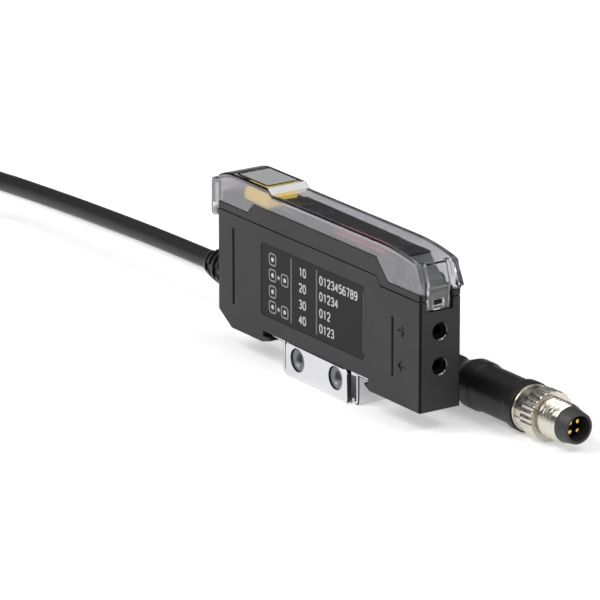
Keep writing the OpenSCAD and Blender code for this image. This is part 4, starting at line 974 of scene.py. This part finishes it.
# Floor, light and world
studio = {
    "floorSize": 6.0, "floorColour": "#e6e6e6", "glow": 0.36,
    "lightFrom": [0.02, 0.25], "lightStrength": [1.0, 0.25],  # heights in the sky, and its strength there
    "mirrorFrom": [0.05, 0.22], "mirrorStrength": [0.75, 0.06],
    "overheadFrom": [0.62, 0.72], "overheadStrength": [0.0, 0.9],
    "lamps": {  # place and width in metres, power in watts
        "keyLamp": [(-0.3, -0.9, 1.0), 0.8, 13.0], "fillLamp": [(0.7, 0.2, 1.05), 0.5, 4.5],
        "rimLamp": [(0.62, 0.72, 0.9), 0.4, 2.5], "frontLamp": [(0.73, -0.54, 0.8), 0.4, 1.6]},
}


def whiteFloor():
    # matt white paper: the eye, metal and clear plastic see it lifted to white, and it keeps the shadow
    material, tree, shader = newMaterial("matteWhitePaper", studio["floorColour"], 0.9,
                                         Specular_IOR_Level=0.0)
    path = addNode(tree, "ShaderNodeLightPath")
    seen = addNode(tree, "ShaderNodeMath", {
        0: path.outputs["Is Camera Ray"], 1: path.outputs["Is Glossy Ray"]}, operation="MAXIMUM")
    seenOrThrough = addNode(tree, "ShaderNodeMath", {
        0: seen.outputs[0], 1: path.outputs["Is Transmission Ray"]}, operation="MAXIMUM")
    lift = addNode(tree, "ShaderNodeMath", {
        0: seenOrThrough.outputs[0], 1: studio["glow"]}, operation="MULTIPLY")
    glow = addNode(tree, "ShaderNodeEmission", {"Color": (1, 1, 1, 1), "Strength": lift.outputs[0]})
    both = addNode(tree, "ShaderNodeAddShader", {0: shader.outputs[0], 1: glow.outputs[0]})
    tree.links.new(both.outputs[0], tree.nodes["Material Output"].inputs["Surface"])
    return material


half = studio["floorSize"] / 2
floorMesh = bpy.data.meshes.new("floor")
floorMesh.from_pydata([(-half, -half, 0), (half, -half, 0), (half, half, 0), (-half, half, 0)], [],
                      [(0, 1, 2, 3)])
floorMesh.materials.append(whiteFloor())
floor = bpy.data.objects.new("floor", floorMesh)
bpy.context.scene.collection.objects.link(floor)


def softLamp(name, place, size, power):
    # an area lamp that faces the origin
    lamp = bpy.data.lights.new(name, "AREA")
    lamp.size = size
    lamp.energy = power
    holder = bpy.data.objects.new(name, lamp)
    bpy.context.scene.collection.objects.link(holder)
    holder.location = place
    x, y, z = place
    holder.rotation_euler = (math.atan2(math.hypot(x, y), z), 0, math.atan2(y, x) + math.pi / 2)


for name, (place, size, power) in studio["lamps"].items():
    softLamp(name, place, size, power)

# Sky: white to the eye; matt faces get its light, gloss and clear plastic a darker one with a bright top
world = bpy.data.worlds.new("studioSky")
bpy.context.scene.world = world
world.use_nodes = True
sky = world.node_tree
path = addNode(sky, "ShaderNodeLightPath")
way = addNode(sky, "ShaderNodeTexCoord")
height = addNode(sky, "ShaderNodeSeparateXYZ", {0: way.outputs["Generated"]})
lighting, mirrored, overhead = [addNode(sky, "ShaderNodeMapRange", {
    "Value": height.outputs["Z"],
    "From Min": studio[use + "From"][0], "From Max": studio[use + "From"][1],
    "To Min": studio[use + "Strength"][0], "To Max": studio[use + "Strength"][1],
}) for use in ("light", "mirror", "overhead")]
reflected = addNode(sky, "ShaderNodeMath", {
    0: mirrored.outputs["Result"], 1: overhead.outputs["Result"]}, operation="MAXIMUM")
bounced = addNode(sky, "ShaderNodeMath", {
    0: path.outputs["Is Glossy Ray"], 1: path.outputs["Is Transmission Ray"]}, operation="MAXIMUM")
lit = addNode(sky, "ShaderNodeMix", {
    0: bounced.outputs[0], 2: lighting.outputs["Result"], 3: reflected.outputs[0]})
shown = addNode(sky, "ShaderNodeMix", {0: path.outputs["Is Camera Ray"], 2: lit.outputs[0], 3: 1.0})
sky.links.new(shown.outputs[0], sky.nodes["Background"].inputs["Strength"])
sky.nodes["Background"].inputs["Color"].default_value = (1, 1, 1, 1)
bpy.context.scene.view_settings.view_transform = "Standard"
print("studio set")
